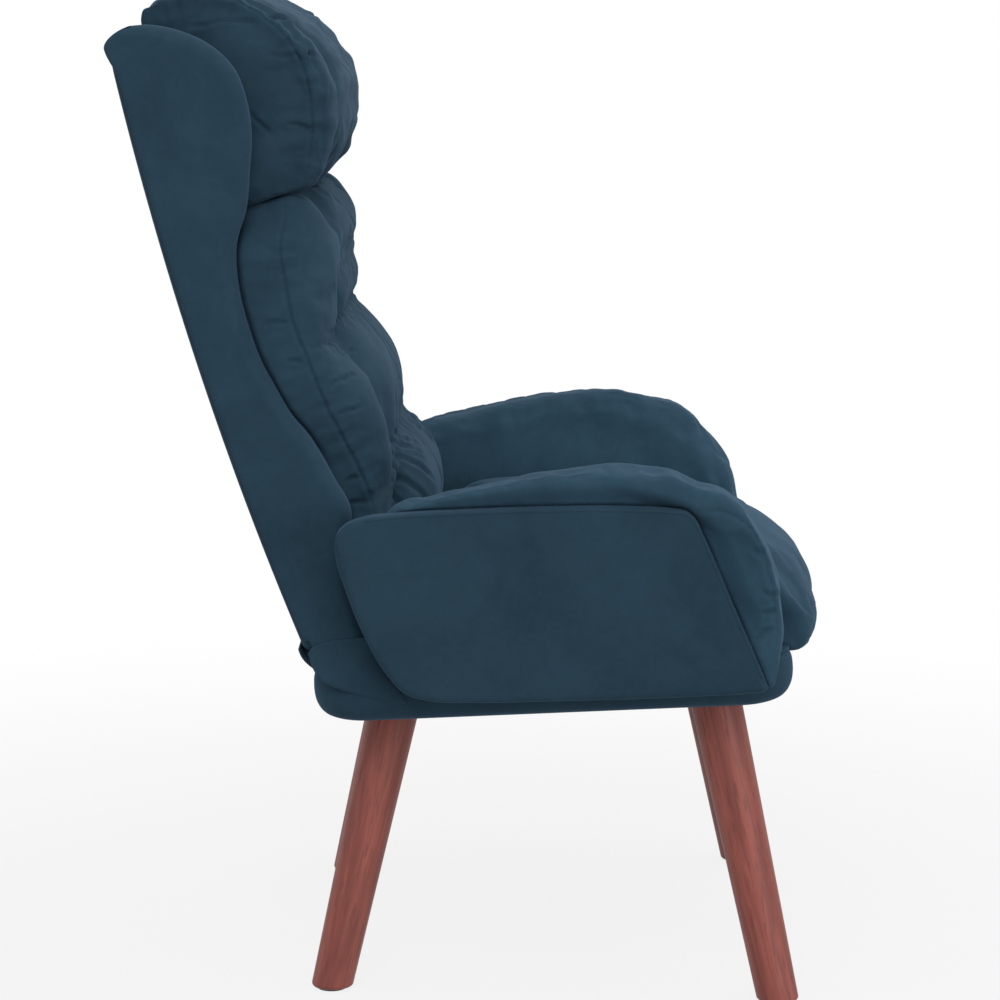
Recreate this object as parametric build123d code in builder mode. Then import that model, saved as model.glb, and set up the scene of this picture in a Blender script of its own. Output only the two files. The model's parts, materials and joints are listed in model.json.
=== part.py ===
from build123d import *
from math import cos, radians, sin, sqrt, tan
import os

# Winged recliner armchair. Millimetres, +Z up, the sitter faces -Y, so the sitter's left is +X.
# The origin is on the floor, at the middle of the chair's width and depth.
# The seat frame is tilted back by seat_pitch.
# The back is tilted by back_rake and turns about the hinge pins.

os.makedirs("parts", exist_ok=True)

# Overall sizes
overall_height = 1000
seat_width = 500
arm_thickness = 95
base_depth = 468
base_front = -316.5
underside_height = 292.5
seat_pitch = 2.4
back_rake = 17.3

# Fits and gaps
soft_gap = 0.3
joint_gap = 0.2
screw_fit = 0.1
pin_fit = 0.05

# Base frame and its covers
base_height = 50
base_setback = 45
base_corner = 60
base_edge = 20
base_padding = 6
deck_slot_gap = 2
deck_slot_inset = 8
deck_thickness = 4
rail_thickness = 25
board_thickness = 18
board_depth = 110
dust_cover_thickness = 1.2
dust_cover_lap = 8
dust_cover_leg_gap = 0.8

# Zigzag seat springs
spring_spacing = 100
spring_width = 46
spring_pitch = 24
spring_wire = 3.6
clip_height = 5.6
clip_width = 30
clip_length = 14

# Legs, their plates and fasteners
leg_top_radius = 25.5
foot_radius = 20.5
foot_rounding = 4
front_leg_inset = (67, 75)
rear_leg_inset = (112, 76)
front_leg_rake = 11.9
rear_leg_rake = 12.7
leg_splay = 7.5
leg_stock_ratio = 1.25
leg_plate_size = 70
leg_plate_thickness = 3
plate_screw_spread = 54
plate_screw_radius = 2
plate_screw_head_radius = 4
plate_screw_head_height = 2
plate_screw_length = 15
hanger_bolt_radius = 4
hanger_bolt_in_leg = 28
hanger_bolt_in_board = 20
glide_radius = 14
glide_thickness = 2
glide_pin_radius = 1.5
glide_pin_length = 14

# Arms
arm_panel_thickness = 22
arm_panel_height = 212
arm_panel_edge = 6
arm_pad_thickness = 20
arm_timber = 25
arm_rail_height = 20
arm_rail_top = 204
arm_frame_front = 91.5
arm_frame_rear = 89.5
arm_crest = 244
arm_roll_edge = 14
arm_bolt_radius = 3
arm_bolt_head_radius = 6
arm_bolt_head_height = 4
arm_bolt_length = 62
arm_bolt_from_front = 35
arm_bolt_from_rear = 32
arm_panel_drop = 24
arm_panel_slope = 10
arm_panel_foot_setback = 30
arm_panel_head_setback = 91
arm_panel_rear_setback = 31
arm_panel_rear_lean = 70
arm_panel_corners = (7, 60, 30, 8)
arm_return_gap = 4
arm_nose_setback = 12.5
arm_nose_height = 60
arm_crest_setback = 182
arm_shoulder_setback = 61
arm_shoulder_rise = 8
arm_rear_rise = -4
arm_crest_rise = 4
arm_cushion_rear_gap = 4
arm_cushion_corners = (25, 16, 16, 260, 40, 60)

# Cushions
seat_cushion_height = 136
seat_overhang = 33.5
seat_side_gap = 6
seat_from_hinge = 92.8
seat_crown_edge = 25
seat_nose_upper_rounding = 0.7
seat_nose_lower_rounding = 0.28
cushion_rear_edge = 18
cushion_side_edge = 16
cushion_side_gap = 4

# Back cushion channels: height above the shell's foot and depth in front of the shell's rear face
lower_channels = ((93, 159), (168, 144), (301, 131))
upper_channel_drops = ((70, 153), (2, 156))
channel_bulges = (9, 16, 8, 5)
back_cushion_foot = ((60, 0), (42, 120), (50, 140))

# Head cushion: distance in front of the shell's rear face and drop below the crown
head_cushion_height = 212
head_neck = 150
head_profile = ((178, 185), (205, 117), (188, 62))
head_rear_profile = ((57, 2), (34, 18))
head_rear_drop = 30
crown_forward = 112
crown_above_wing = 14

# Back shell
shell_setback = 60
shell_bow = 14
rear_panel_thickness = 10
wing_thickness = 41
stile_thickness = 18
wing_skin = 8
wing_side_skin = 11
back_rail_thickness = 22
back_rail_height = 40
bottom_rail_up = 62
middle_rail_up = 300
top_rail_drop = 36
wing_pad_start = 115
wing_foot_front = 62
wing_foot_height = 60
wing_top_profile = ((26, 0), (60, 9), (95, 43), (109, 101), (91, 165), (57, 229), (45, 290))
wing_low_profile = ((58, 228), (84, 128))
wing_top_corner = (14, 4, 12)
wing_outline_steps = 16
panel_side_inset = 3
panel_foot = 3
panel_top_inset = 4
top_roll_depth = 33
webbing_width = 50
webbing_thickness = 2
webbing_count = 6
webbing_plate_gap = 5
webbing_top_drop = 90

# Reclining hinge
hinge_from_rear = 32.7
hinge_in_shell = 44
hinge_above_shell = 15
shell_foot_radius = 36.5
shell_foot_gap = 3.4
hinge_plate_thickness = 3
hinge_plate_width = 20
hinge_plate_reach = 105
pivot_pin_radius = 5
pivot_head_radius = 8
pivot_head_height = 3
pivot_boss_radius = 18
sector_radius = 28
tooth_depth = 3
tooth_count = 7
tooth_step = 5
sector_start = 205
pawl_distance = 42
pawl_radius = 6
pawl_tooth_gap = 0.8
pawl_pin_radius = 3
pawl_pin_head_radius = 6
pawl_pin_head_height = 1.5
pawl_spring_wire = 0.8
pawl_spring_turns = 4
pawl_spring_length = 5.4
pawl_spring_gap = 0.6
pawl_tip_radius = 1
bracket_flange_width = 40
bracket_flange_depth = 56
bracket_from_rail = 12
bracket_pawl_rim = 2
bracket_screw_radius = 2.5
bracket_screw_head_radius = 5
bracket_screw_head_height = 2.5
bracket_screw_length = 16
hinge_bolt_radius = 3
hinge_bolt_head_radius = 6
hinge_bolt_head_height = 3
hinge_bolt_length = 17
hinge_bolt_rises = (45, 80)

sides = (("left", 1), ("right", -1))


def shift(origin, tilt, back, up):
    """(y, z) of a point that lies back and up from origin in a frame tilted back by tilt degrees."""
    a = radians(tilt)
    return (origin[0] + back * cos(a) + up * sin(a), origin[1] - back * sin(a) + up * cos(a))


def side_plane(origin, tilt, x):
    """Plane across the chair at x. Its own x axis runs rearward and its own y axis up."""
    a = radians(tilt)
    return Plane(origin=(x, origin[0], origin[1]), x_dir=(0, cos(a), -sin(a)), z_dir=(1, 0, 0))


# Places that several pieces share
arm_outer = seat_width / 2 + arm_thickness
base_half_width = arm_outer - base_setback
base_rear = base_front + base_depth
base_middle = base_front + base_depth / 2
deck_top = base_height
deck_bottom = base_height - deck_thickness
rail_bottom = base_padding + joint_gap
rail_outer = base_half_width - base_padding - joint_gap
rail_inner = rail_outer - rail_thickness
rail_front = base_front + base_padding + joint_gap
rail_rear = base_rear - base_padding - joint_gap
front_rail_inner = rail_front + rail_thickness
rear_rail_inner = rail_rear - rail_thickness
spring_rail_top = deck_bottom - clip_height - joint_gap
spring_level = spring_rail_top + clip_height / 2
board_top = rail_bottom + board_thickness
plate_bottom = rail_bottom - leg_plate_thickness

seat_origin = (0, underside_height)
hinge_back = base_rear - hinge_from_rear
hinge_up = deck_top + shell_foot_radius + shell_foot_gap
hinge_point = shift(seat_origin, seat_pitch, hinge_back, hinge_up)
shell_origin = shift(hinge_point, back_rake, hinge_in_shell, -hinge_above_shell)

crown_height = overall_height - shell_origin[1] - crown_forward * sin(radians(back_rake))
back_length = crown_height / cos(radians(back_rake))
wing_length = back_length - crown_above_wing
shell_half_width = arm_outer - shell_setback
wing_inner = shell_half_width - wing_thickness
stile_outer = shell_half_width - wing_side_skin
stile_inner = stile_outer - stile_thickness
cushion_half_width = wing_inner - cushion_side_gap
seat_up = Axis((0, 0, 0), (0, sin(radians(seat_pitch)), cos(radians(seat_pitch))))


def seat_side(x):
    """Side plane of the seat frame at x, measured from the underside of the base."""
    return side_plane(seat_origin, seat_pitch, x)


def back_side(x):
    """Side plane of the back at x, measured from the rear lower corner of the shell."""
    return side_plane(shell_origin, back_rake, x)


def seat_level(up):
    """Plane parallel to the underside of the base, at the height up above it."""
    a = radians(seat_pitch)
    y, z = shift(seat_origin, seat_pitch, 0, up)
    return Plane(origin=(0, y, z), x_dir=(1, 0, 0), z_dir=(0, sin(a), cos(a)))


def save(piece, name):
    """Label a finished piece and write its STEP file."""
    piece.part.label = name
    export_step(piece.part, f"parts/{name}.step")


# Base frame: a ring of four timber rails with rounded corners, cut where the rails butt together
with BuildPart() as rail_ring:
    with BuildSketch(seat_level(rail_bottom)):
        with Locations((0, base_middle)):
            RectangleRounded(2 * rail_outer, rail_rear - rail_front, base_corner - base_padding)
    extrude(amount=deck_bottom - rail_bottom)
    fillet(rail_ring.edges().group_by(seat_up)[0], base_edge - base_padding)
    with BuildSketch(seat_level(0)):
        with Locations((0, base_middle)):
            Rectangle(2 * rail_inner, rear_rail_inner - front_rail_inner)
    extrude(amount=base_height, mode=Mode.SUBTRACT)

rail_middle = (rail_inner + rail_outer) / 2
arm_front = base_front + arm_frame_front
arm_rear = base_rear - arm_frame_rear
arm_bolt_backs = (arm_front + arm_bolt_from_front, arm_rear - arm_bolt_from_rear)
arm_bolt_spots = [(side * rail_middle, back) for _, side in sides for back in arm_bolt_backs]

for name, rail_y in (("front_rail", rail_front), ("rear_rail", rear_rail_inner)):
    with BuildPart() as cross_rail:
        add(rail_ring.part)
        with BuildSketch(seat_level(0)):
            with Locations((0, rail_y)):
                Rectangle(2 * rail_outer, rail_thickness, align=(Align.CENTER, Align.MIN))
        extrude(amount=spring_rail_top, mode=Mode.INTERSECT)
    save(cross_rail, name)

for hand, side in sides:
    with BuildPart() as side_rail:
        add(rail_ring.part)
        with BuildSketch(seat_level(0)):
            with Locations((side * rail_middle, base_middle)):
                Rectangle(rail_thickness, rear_rail_inner - front_rail_inner)
        extrude(amount=base_height, mode=Mode.INTERSECT)
        with BuildSketch(seat_level(0)):
            with Locations(*arm_bolt_spots):
                Circle(arm_bolt_radius + screw_fit)
        extrude(amount=base_height, mode=Mode.SUBTRACT)
    save(side_rail, f"{hand}_side_rail")

# Base cover: foam and cloth wrapped round the outside and under the rails
with BuildPart() as rail_space:
    with BuildSketch(seat_level(base_padding)):
        with Locations((0, base_middle)):
            RectangleRounded(
                2 * (base_half_width - base_padding),
                base_depth - 2 * base_padding,
                base_corner - base_padding,
            )
    extrude(amount=base_height)
    fillet(rail_space.edges().group_by(seat_up)[0], base_edge - base_padding)

with BuildPart() as base_cover:
    with BuildSketch(seat_level(0)):
        with Locations((0, base_middle)):
            RectangleRounded(2 * base_half_width, base_depth, base_corner)
    extrude(amount=deck_bottom)
    fillet(base_cover.edges().group_by(seat_up)[0], base_edge)
    add(rail_space.part, mode=Mode.SUBTRACT)
    with BuildSketch(seat_level(0)):
        with Locations((0, base_middle)):
            Rectangle(2 * rail_inner, rear_rail_inner - front_rail_inner)
        with Locations(*arm_bolt_spots):
            Circle(arm_bolt_head_radius + joint_gap)
    extrude(amount=base_height, mode=Mode.SUBTRACT)
save(base_cover, "base_cover")

# Legs: tapered round timber, cut flat under the plate and flat at the floor
front_leg_spot = (base_half_width - front_leg_inset[0], base_front + front_leg_inset[1])
rear_leg_spot = (base_half_width - rear_leg_inset[0], base_rear - rear_leg_inset[1])
leg_ends = (("front", front_leg_spot, -front_leg_rake), ("rear", rear_leg_spot, rear_leg_rake))


def leg_plane(spot, rake, side):
    """Plane square to a leg at the middle of its top, with its z axis up the leg."""
    y, z = shift(seat_origin, seat_pitch, spot[1], plate_bottom)
    downward = Vector(side * tan(radians(leg_splay)), tan(radians(rake)), -1)
    across = Vector(0, 1, 0).cross(downward * -1)
    return Plane(origin=(side * spot[0], y, z), x_dir=across, z_dir=downward * -1)


leg_planes = {
    f"{end}_{hand}": leg_plane(spot, rake, side)
    for end, spot, rake in leg_ends
    for hand, side in sides
}
leg_spots = [(side * spot[0], spot[1]) for _, spot, _ in leg_ends for _, side in sides]
plate_screw_spots = [
    (x + dx * plate_screw_spread / 2, y + dy * plate_screw_spread / 2)
    for x, y in leg_spots
    for dx in (-1, 1)
    for dy in (-1, 1)
]
leg_stock = leg_stock_ratio * underside_height
foot_points = {}

for name, plane in leg_planes.items():
    length = (plane.origin.Z - glide_thickness) / plane.z_dir.Z
    foot_points[name] = plane.origin - plane.z_dir * length
    taper = (leg_top_radius - foot_radius) / length
    spare = leg_stock - length
    with BuildPart() as leg:
        with BuildSketch(plane.offset(spare)):
            Circle(leg_top_radius + taper * spare)
        with BuildSketch(plane.offset(-leg_stock)):
            Circle(foot_radius - taper * spare)
        loft()
        split(bisect_by=seat_level(plate_bottom), keep=Keep.BOTTOM)
        split(bisect_by=Plane.XY.offset(glide_thickness), keep=Keep.TOP)
        fillet(leg.edges().group_by(Axis.Z)[0], foot_rounding)
        with BuildSketch(plane):
            Circle(hanger_bolt_radius + screw_fit)
        extrude(amount=hanger_bolt_in_leg + 1, both=True, mode=Mode.SUBTRACT)
        with BuildSketch(Plane.XY):
            with Locations((foot_points[name].X, foot_points[name].Y)):
                Circle(glide_pin_radius + screw_fit)
        extrude(amount=glide_thickness + glide_pin_length + 1, mode=Mode.SUBTRACT)
    save(leg, f"{name}_leg")

with BuildPart() as foot_glides:
    for foot in foot_points.values():
        with BuildSketch(Plane.XY):
            with Locations((foot.X, foot.Y)):
                Circle(glide_radius)
        extrude(amount=glide_thickness)
        with BuildSketch(Plane.XY):
            with Locations((foot.X, foot.Y)):
                Circle(glide_pin_radius)
        extrude(amount=glide_thickness + glide_pin_length)
save(foot_glides, "foot_glides")

with BuildPart() as leg_plates:
    with BuildSketch(seat_level(plate_bottom)):
        with Locations(*leg_spots):
            Rectangle(leg_plate_size, leg_plate_size)
        with Locations(*plate_screw_spots):
            Circle(plate_screw_radius + screw_fit, mode=Mode.SUBTRACT)
    extrude(amount=leg_plate_thickness)
    for plane in leg_planes.values():
        with BuildSketch(plane):
            Circle(hanger_bolt_radius + screw_fit)
        extrude(amount=hanger_bolt_in_board, both=True, mode=Mode.SUBTRACT)
save(leg_plates, "leg_plates")

with BuildPart() as hanger_bolts:
    for plane in leg_planes.values():
        with BuildSketch(plane.offset(-hanger_bolt_in_leg)):
            Circle(hanger_bolt_radius)
        extrude(amount=hanger_bolt_in_leg + hanger_bolt_in_board)
save(hanger_bolts, "hanger_bolts")

with BuildPart() as plate_screws:
    with BuildSketch(seat_level(plate_bottom - plate_screw_head_height)):
        with Locations(*plate_screw_spots):
            Circle(plate_screw_head_radius)
    extrude(amount=plate_screw_head_height)
    with BuildSketch(seat_level(plate_bottom - plate_screw_head_height)):
        with Locations(*plate_screw_spots):
            Circle(plate_screw_radius)
    extrude(amount=plate_screw_head_height + plate_screw_length)
save(plate_screws, "plate_screws")

# Hinge places in the seat frame: the bracket stands on the rear leg board, just inside each stile
plate_outer = stile_inner - soft_gap
plate_inner = plate_outer - hinge_plate_thickness
bracket_outer = plate_inner - soft_gap
bracket_inner = bracket_outer - hinge_plate_thickness
pawl_direction = radians(sector_start)
pawl_back = hinge_back + pawl_distance * cos(pawl_direction)
pawl_up = hinge_up + pawl_distance * sin(pawl_direction)
flange_front = rear_rail_inner - bracket_flange_depth - bracket_from_rail
flange_middle = flange_front + bracket_flange_depth / 2
bracket_screw_spots = [
    (side * (bracket_inner - bracket_flange_width / 2), flange_middle + spread)
    for _, side in sides
    for spread in (-bracket_flange_depth / 4, bracket_flange_depth / 4)
]

# Leg boards: plywood cross boards between the side rails, which carry the leg plates
for name, board_front in (
    ("front_leg_board", front_rail_inner),
    ("rear_leg_board", rear_rail_inner - board_depth),
):
    with BuildPart() as leg_board:
        with BuildSketch(seat_level(rail_bottom)):
            with Locations((0, board_front)):
                Rectangle(2 * rail_inner, board_depth, align=(Align.CENTER, Align.MIN))
        extrude(amount=board_thickness)
        with BuildSketch(seat_level(rail_bottom)):
            with Locations(*plate_screw_spots):
                Circle(plate_screw_radius + screw_fit)
        extrude(amount=plate_screw_length, mode=Mode.SUBTRACT)
        with BuildSketch(seat_level(board_top)):
            with Locations(*bracket_screw_spots):
                Circle(bracket_screw_radius + screw_fit)
        extrude(amount=-bracket_screw_length, mode=Mode.SUBTRACT)
        for plane in leg_planes.values():
            with BuildSketch(plane):
                Circle(hanger_bolt_radius + screw_fit)
            extrude(amount=hanger_bolt_in_board + 1, mode=Mode.SUBTRACT)
    save(leg_board, name)

# Zigzag springs from the front rail to the rear rail, and the clips that hold their end bars
front_bar = rail_front + rail_thickness / 2
rear_bar = rail_rear - rail_thickness / 2
bar_count = round((rear_bar - front_bar) / spring_pitch) + 1
bar_step = (rear_bar - front_bar) / (bar_count - 1)
zigzag = []
for i in range(bar_count):
    reach = spring_width / 2 if i % 2 else -spring_width / 2
    zigzag += [(reach, front_bar + i * bar_step), (-reach, front_bar + i * bar_step)]

with BuildPart() as one_spring:
    with BuildLine(seat_level(spring_level)) as spring_path:
        FilletPolyline(*zigzag, radius=0.49 * bar_step)
    with BuildSketch(Plane(origin=spring_path.line @ 0, z_dir=spring_path.line % 0)):
        Circle(spring_wire / 2)
    sweep(path=spring_path.line)

spring_places = [i * spring_spacing for i in range(-2, 3)]
with BuildPart() as seat_springs:
    for x in spring_places:
        add(one_spring.part.moved(Location((x, 0, 0))))
save(seat_springs, "seat_springs")

with BuildPart() as spring_clips:
    for x in spring_places:
        for bar, inward in ((front_bar, 1), (rear_bar, -1)):
            with BuildSketch(seat_side(x - clip_width / 2)):
                with Locations((bar, spring_level)):
                    Rectangle(clip_length, clip_height)
                with Locations((bar + inward * (clip_length - spring_wire) / 4, spring_level)):
                    Rectangle(
                        (clip_length + spring_wire) / 2 + 2 * screw_fit,
                        spring_wire + 2 * screw_fit,
                        mode=Mode.SUBTRACT,
                    )
            extrude(amount=clip_width)
save(spring_clips, "spring_clips")

# Seat deck: the felted platform over the springs, slotted for the hinge brackets
bracket_middle = (bracket_inner + bracket_outer) / 2
slot_front = flange_front - deck_slot_gap
with BuildPart() as seat_deck:
    with BuildSketch(seat_level(deck_bottom)):
        with Locations((0, base_middle)):
            RectangleRounded(2 * base_half_width, base_depth, base_corner)
        with Locations(*[(side * bracket_middle, slot_front) for _, side in sides]):
            Rectangle(
                hinge_plate_thickness + deck_slot_gap,
                base_rear - deck_slot_inset - slot_front,
                align=(Align.CENTER, Align.MIN),
                mode=Mode.SUBTRACT,
            )
        with Locations(*arm_bolt_spots):
            Circle(arm_bolt_radius + screw_fit, mode=Mode.SUBTRACT)
    extrude(amount=deck_thickness)
save(seat_deck, "seat_deck")

# Dust cover: thin cloth that closes the underside round the legs
with BuildPart() as dust_cover:
    with BuildSketch(seat_level(-dust_cover_thickness)):
        with Locations((0, base_middle)):
            Rectangle(
                2 * (rail_inner + dust_cover_lap),
                rear_rail_inner - front_rail_inner + 2 * dust_cover_lap,
            )
    extrude(amount=dust_cover_thickness)
    for plane in leg_planes.values():
        with BuildSketch(plane):
            Circle(leg_top_radius + dust_cover_leg_gap)
        extrude(amount=leg_plate_size / 2, both=True, mode=Mode.SUBTRACT)
    with BuildSketch(seat_level(-dust_cover_thickness)):
        with Locations(*arm_bolt_spots):
            Circle(arm_bolt_head_radius + joint_gap)
    extrude(amount=dust_cover_thickness, mode=Mode.SUBTRACT)
save(dust_cover, "dust_cover")

# Seat cushion: a box cushion with a rounded nose over the front of the base
seat_cushion_rear = hinge_back - seat_from_hinge
seat_cushion_top = deck_top + seat_cushion_height
seat_nose = base_front - seat_overhang
with BuildPart() as seat_cushion:
    with BuildSketch(seat_side(seat_width / 2 - seat_side_gap)):
        with BuildLine():
            FilletPolyline(
                (seat_cushion_rear, deck_top + soft_gap),
                (seat_cushion_rear, seat_cushion_top),
                (seat_nose, seat_cushion_top),
                (seat_nose, deck_top + soft_gap),
                radius=(
                    cushion_rear_edge,
                    seat_crown_edge,
                    seat_nose_upper_rounding * seat_cushion_height,
                    seat_nose_lower_rounding * seat_cushion_height,
                ),
                close=True,
            )
        make_face()
    extrude(amount=-(seat_width - 2 * seat_side_gap))
    fillet(seat_cushion.faces().sort_by(Axis.X)[0].edges(), cushion_side_edge)
    fillet(seat_cushion.faces().sort_by(Axis.X)[-1].edges(), cushion_side_edge)
save(seat_cushion, "seat_cushion")

# Arms: four timbers stand on the deck. A padded panel closes the outside and turns in behind them.
# A cushion wraps the rest.
arm_inner = seat_width / 2 + arm_pad_thickness
panel_inner = arm_outer - arm_panel_thickness
arm_frame_outer = panel_inner - soft_gap
arm_timber_width = arm_frame_outer - arm_inner
arm_rail_bottom = arm_rail_top - arm_rail_height
low_rail_top = deck_top + arm_rail_height
arm_nose = base_front + arm_nose_setback
arm_cushion_rear = pawl_back - pawl_radius - arm_cushion_rear_gap
panel_bottom = deck_top - arm_panel_drop
panel_top = arm_panel_height - arm_panel_slope
panel_front_foot = base_front + arm_panel_foot_setback
panel_front_head = base_front + arm_panel_head_setback
panel_rear = base_rear - arm_panel_rear_setback

with BuildSketch() as panel_outline:
    with BuildLine():
        FilletPolyline(
            (panel_front_foot, panel_bottom),
            (panel_rear - arm_panel_rear_lean, panel_bottom),
            (panel_rear, panel_top),
            (panel_front_head, panel_top),
            radius=arm_panel_corners,
            close=True,
        )
    make_face()

for hand, side in sides:
    timber_start = side * arm_inner
    timber_amount = side * arm_timber_width
    timbers = (
        ("bottom_rail", arm_front, arm_rear, deck_top, low_rail_top),
        ("top_rail", arm_front, arm_rear, arm_rail_bottom, arm_rail_top),
        ("front_post", arm_front, arm_front + arm_timber, low_rail_top, arm_rail_bottom),
        ("rear_post", arm_rear - arm_timber, arm_rear, low_rail_top, arm_rail_bottom),
    )
    for name, front, rear, low, high in timbers:
        with BuildPart() as arm_member:
            with BuildSketch(seat_side(timber_start)):
                with Locations((front, low)):
                    Rectangle(rear - front, high - low, align=(Align.MIN, Align.MIN))
            extrude(amount=timber_amount)
            if name == "bottom_rail":
                with BuildSketch(seat_level(deck_top)):
                    with Locations(*arm_bolt_spots):
                        Circle(arm_bolt_radius + screw_fit)
                extrude(amount=arm_rail_height, mode=Mode.SUBTRACT)
        save(arm_member, f"{hand}_arm_{name}")

    with BuildPart() as arm_panel:
        with BuildSketch(seat_side(side * panel_inner)):
            add(panel_outline.sketch)
        extrude(amount=side * arm_panel_thickness)
        fillet(arm_panel.faces().sort_by(Axis.X)[-1 if side > 0 else 0].edges(), arm_panel_edge)
        with BuildSketch(seat_side(side * panel_inner)):
            add(panel_outline.sketch)
            with Locations((arm_rear + joint_gap, deck_top + soft_gap)):
                Rectangle(base_depth, base_depth, align=(Align.MIN, Align.MIN), mode=Mode.INTERSECT)
        extrude(amount=side * (shell_half_width + arm_return_gap - panel_inner))
    save(arm_panel, f"{hand}_arm_panel")

    with BuildPart() as arm_cushion:
        with BuildSketch(seat_side(side * seat_width / 2)) as arm_outline:
            with BuildLine():
                FilletPolyline(
                    (arm_nose, deck_top + soft_gap),
                    (arm_cushion_rear, deck_top + soft_gap),
                    (arm_cushion_rear, arm_panel_height + arm_rear_rise),
                    (base_front + arm_crest_setback, arm_crest + arm_crest_rise),
                    (base_front + arm_shoulder_setback, arm_panel_height + arm_shoulder_rise),
                    (arm_nose, deck_top + arm_nose_height),
                    radius=arm_cushion_corners,
                    close=True,
                )
            make_face()
        extrude(amount=side * (panel_inner - soft_gap - seat_width / 2))
        fillet(arm_cushion.faces().sort_by(Axis.X)[0].edges(), arm_roll_edge)
        fillet(arm_cushion.faces().sort_by(Axis.X)[-1].edges(), arm_roll_edge)
        with BuildSketch(seat_side(side * (arm_inner - soft_gap))):
            with Locations((arm_front - soft_gap, 0)):
                Rectangle(base_depth, arm_rail_top + soft_gap, align=(Align.MIN, Align.MIN))
        extrude(amount=side * arm_thickness, mode=Mode.SUBTRACT)
    save(arm_cushion, f"{hand}_arm_cushion")

with BuildPart() as arm_bolts:
    with BuildSketch(seat_level(rail_bottom - arm_bolt_head_height)):
        with Locations(*arm_bolt_spots):
            Circle(arm_bolt_head_radius)
    extrude(amount=arm_bolt_head_height)
    with BuildSketch(seat_level(rail_bottom)):
        with Locations(*arm_bolt_spots):
            Circle(arm_bolt_radius)
    extrude(amount=arm_bolt_length)
save(arm_bolts, "arm_bolts")

# Back shell: two plywood stiles and three rails, webbed across, inside padded wings and a rear panel
half_length = wing_length / 2


def rear_bow(up):
    """How far the shell's bowed rear face stands behind the straight line from its foot to its top."""
    return shell_bow * (1 - ((up - half_length) / half_length) ** 2)


def rear_arc(inset, low, high):
    """Arc of the shell's bowed rear face between two heights, moved forward by inset."""
    return ThreePointArc(*[(rear_bow(up) - inset, up) for up in (low, (low + high) / 2, high)])


hinge_spot = (-hinge_in_shell, hinge_above_shell)
wing_rear_inset = rear_panel_thickness + soft_gap
wing_front = Spline(
    *[(-forward, wing_length - drop) for forward, drop in wing_top_profile],
    *[(-forward, up) for forward, up in wing_low_profile],
)


def foot_point(back, inset):
    """Point at the distance back on the round foot of a wing, which is centred on the hinge."""
    reach = shell_foot_radius - inset
    return (back, hinge_above_shell - sqrt(reach**2 - (back + hinge_in_shell) ** 2))


def wing_shape(inset):
    """Side face of a wing shrunk all round by inset, drawn flat: x is rearward and y is up the back."""
    corner_forward, corner_drop, rear_drop = wing_top_corner
    front = []
    for i in range(wing_outline_steps + 1):
        part = i / wing_outline_steps
        along = wing_front % part
        front.append(wing_front @ part + Vector(-along.Y, along.X) * inset)
    foot_front = foot_point(-wing_foot_front + inset, inset)
    foot_rear = foot_point(-wing_rear_inset - inset, inset)
    with BuildSketch() as shape:
        with BuildLine():
            rear_edge = rear_arc(wing_rear_inset + inset, foot_rear[1], wing_length - rear_drop - inset)
            corner_inset = inset * sqrt(0.5)
            ThreePointArc(
                rear_edge @ 1,
                (-corner_forward - corner_inset, wing_length - corner_drop - corner_inset),
                front[0],
            )
            Spline(*front)
            Polyline(front[-1], (-wing_foot_front + inset, wing_foot_height), foot_front)
            ThreePointArc(foot_front, foot_point(-hinge_in_shell, inset), rear_edge @ 0)
        make_face()
    return shape.sketch


wing_outline = wing_shape(0)
stile_pocket = wing_shape(wing_skin)
stile_outline = wing_shape(wing_skin + soft_gap)

cushion_rear = wing_rear_inset + back_rail_thickness + webbing_thickness + 3 * soft_gap
hinge_bolt_spots = [(-hinge_in_shell, hinge_above_shell + rise) for rise in hinge_bolt_rises]

for hand, side in sides:
    with BuildPart() as stile:
        with BuildSketch(back_side(side * stile_inner)):
            add(stile_outline)
            with Locations(*hinge_bolt_spots):
                Circle(hinge_bolt_radius + screw_fit, mode=Mode.SUBTRACT)
        extrude(amount=side * stile_thickness)
    save(stile, f"{hand}_back_stile")

    with BuildPart() as wing_cover:
        with BuildSketch(back_side(side * wing_inner)):
            add(wing_outline)
        extrude(amount=side * wing_thickness)
        with BuildSketch(back_side(side * (stile_inner - soft_gap))):
            add(stile_pocket)
        extrude(amount=side * (stile_thickness + 2 * soft_gap), mode=Mode.SUBTRACT)
        with BuildSketch(back_side(side * wing_inner)):
            with Locations((-cushion_rear, 0)):
                Rectangle(cushion_rear + shell_bow, 2 * back_length, align=(Align.MIN, Align.CENTER))
            with Locations((0, wing_pad_start)):
                Rectangle(arm_outer, wing_length, align=(Align.CENTER, Align.MAX))
        extrude(amount=side * (stile_inner + soft_gap - wing_inner), mode=Mode.SUBTRACT)
    save(wing_cover, f"{hand}_wing_cover")

rails = (
    ("back_bottom_rail", bottom_rail_up),
    ("back_middle_rail", middle_rail_up),
    ("back_top_rail", wing_length - top_rail_drop),
)
for name, up in rails:
    bow = min(rear_bow(up - back_rail_height / 2), rear_bow(up + back_rail_height / 2))
    front = bow - rear_panel_thickness - soft_gap - back_rail_thickness
    with BuildPart() as back_rail:
        with BuildSketch(back_side(-stile_inner)):
            with Locations((front, up)):
                Rectangle(back_rail_thickness, back_rail_height, align=(Align.MIN, Align.CENTER))
        extrude(amount=2 * stile_inner)
    save(back_rail, name)

with BuildPart() as back_webbing:
    webbing_low = hinge_plate_reach + webbing_width / 2 + webbing_plate_gap
    webbing_step = (wing_length - webbing_top_drop - webbing_low) / (webbing_count - 1)
    for i in range(webbing_count):
        with BuildSketch(back_side(-stile_inner)):
            with Locations((-cushion_rear + soft_gap, webbing_low + i * webbing_step)):
                Rectangle(webbing_thickness, webbing_width, align=(Align.MIN, Align.CENTER))
        extrude(amount=2 * stile_inner)
save(back_webbing, "back_webbing")

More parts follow.
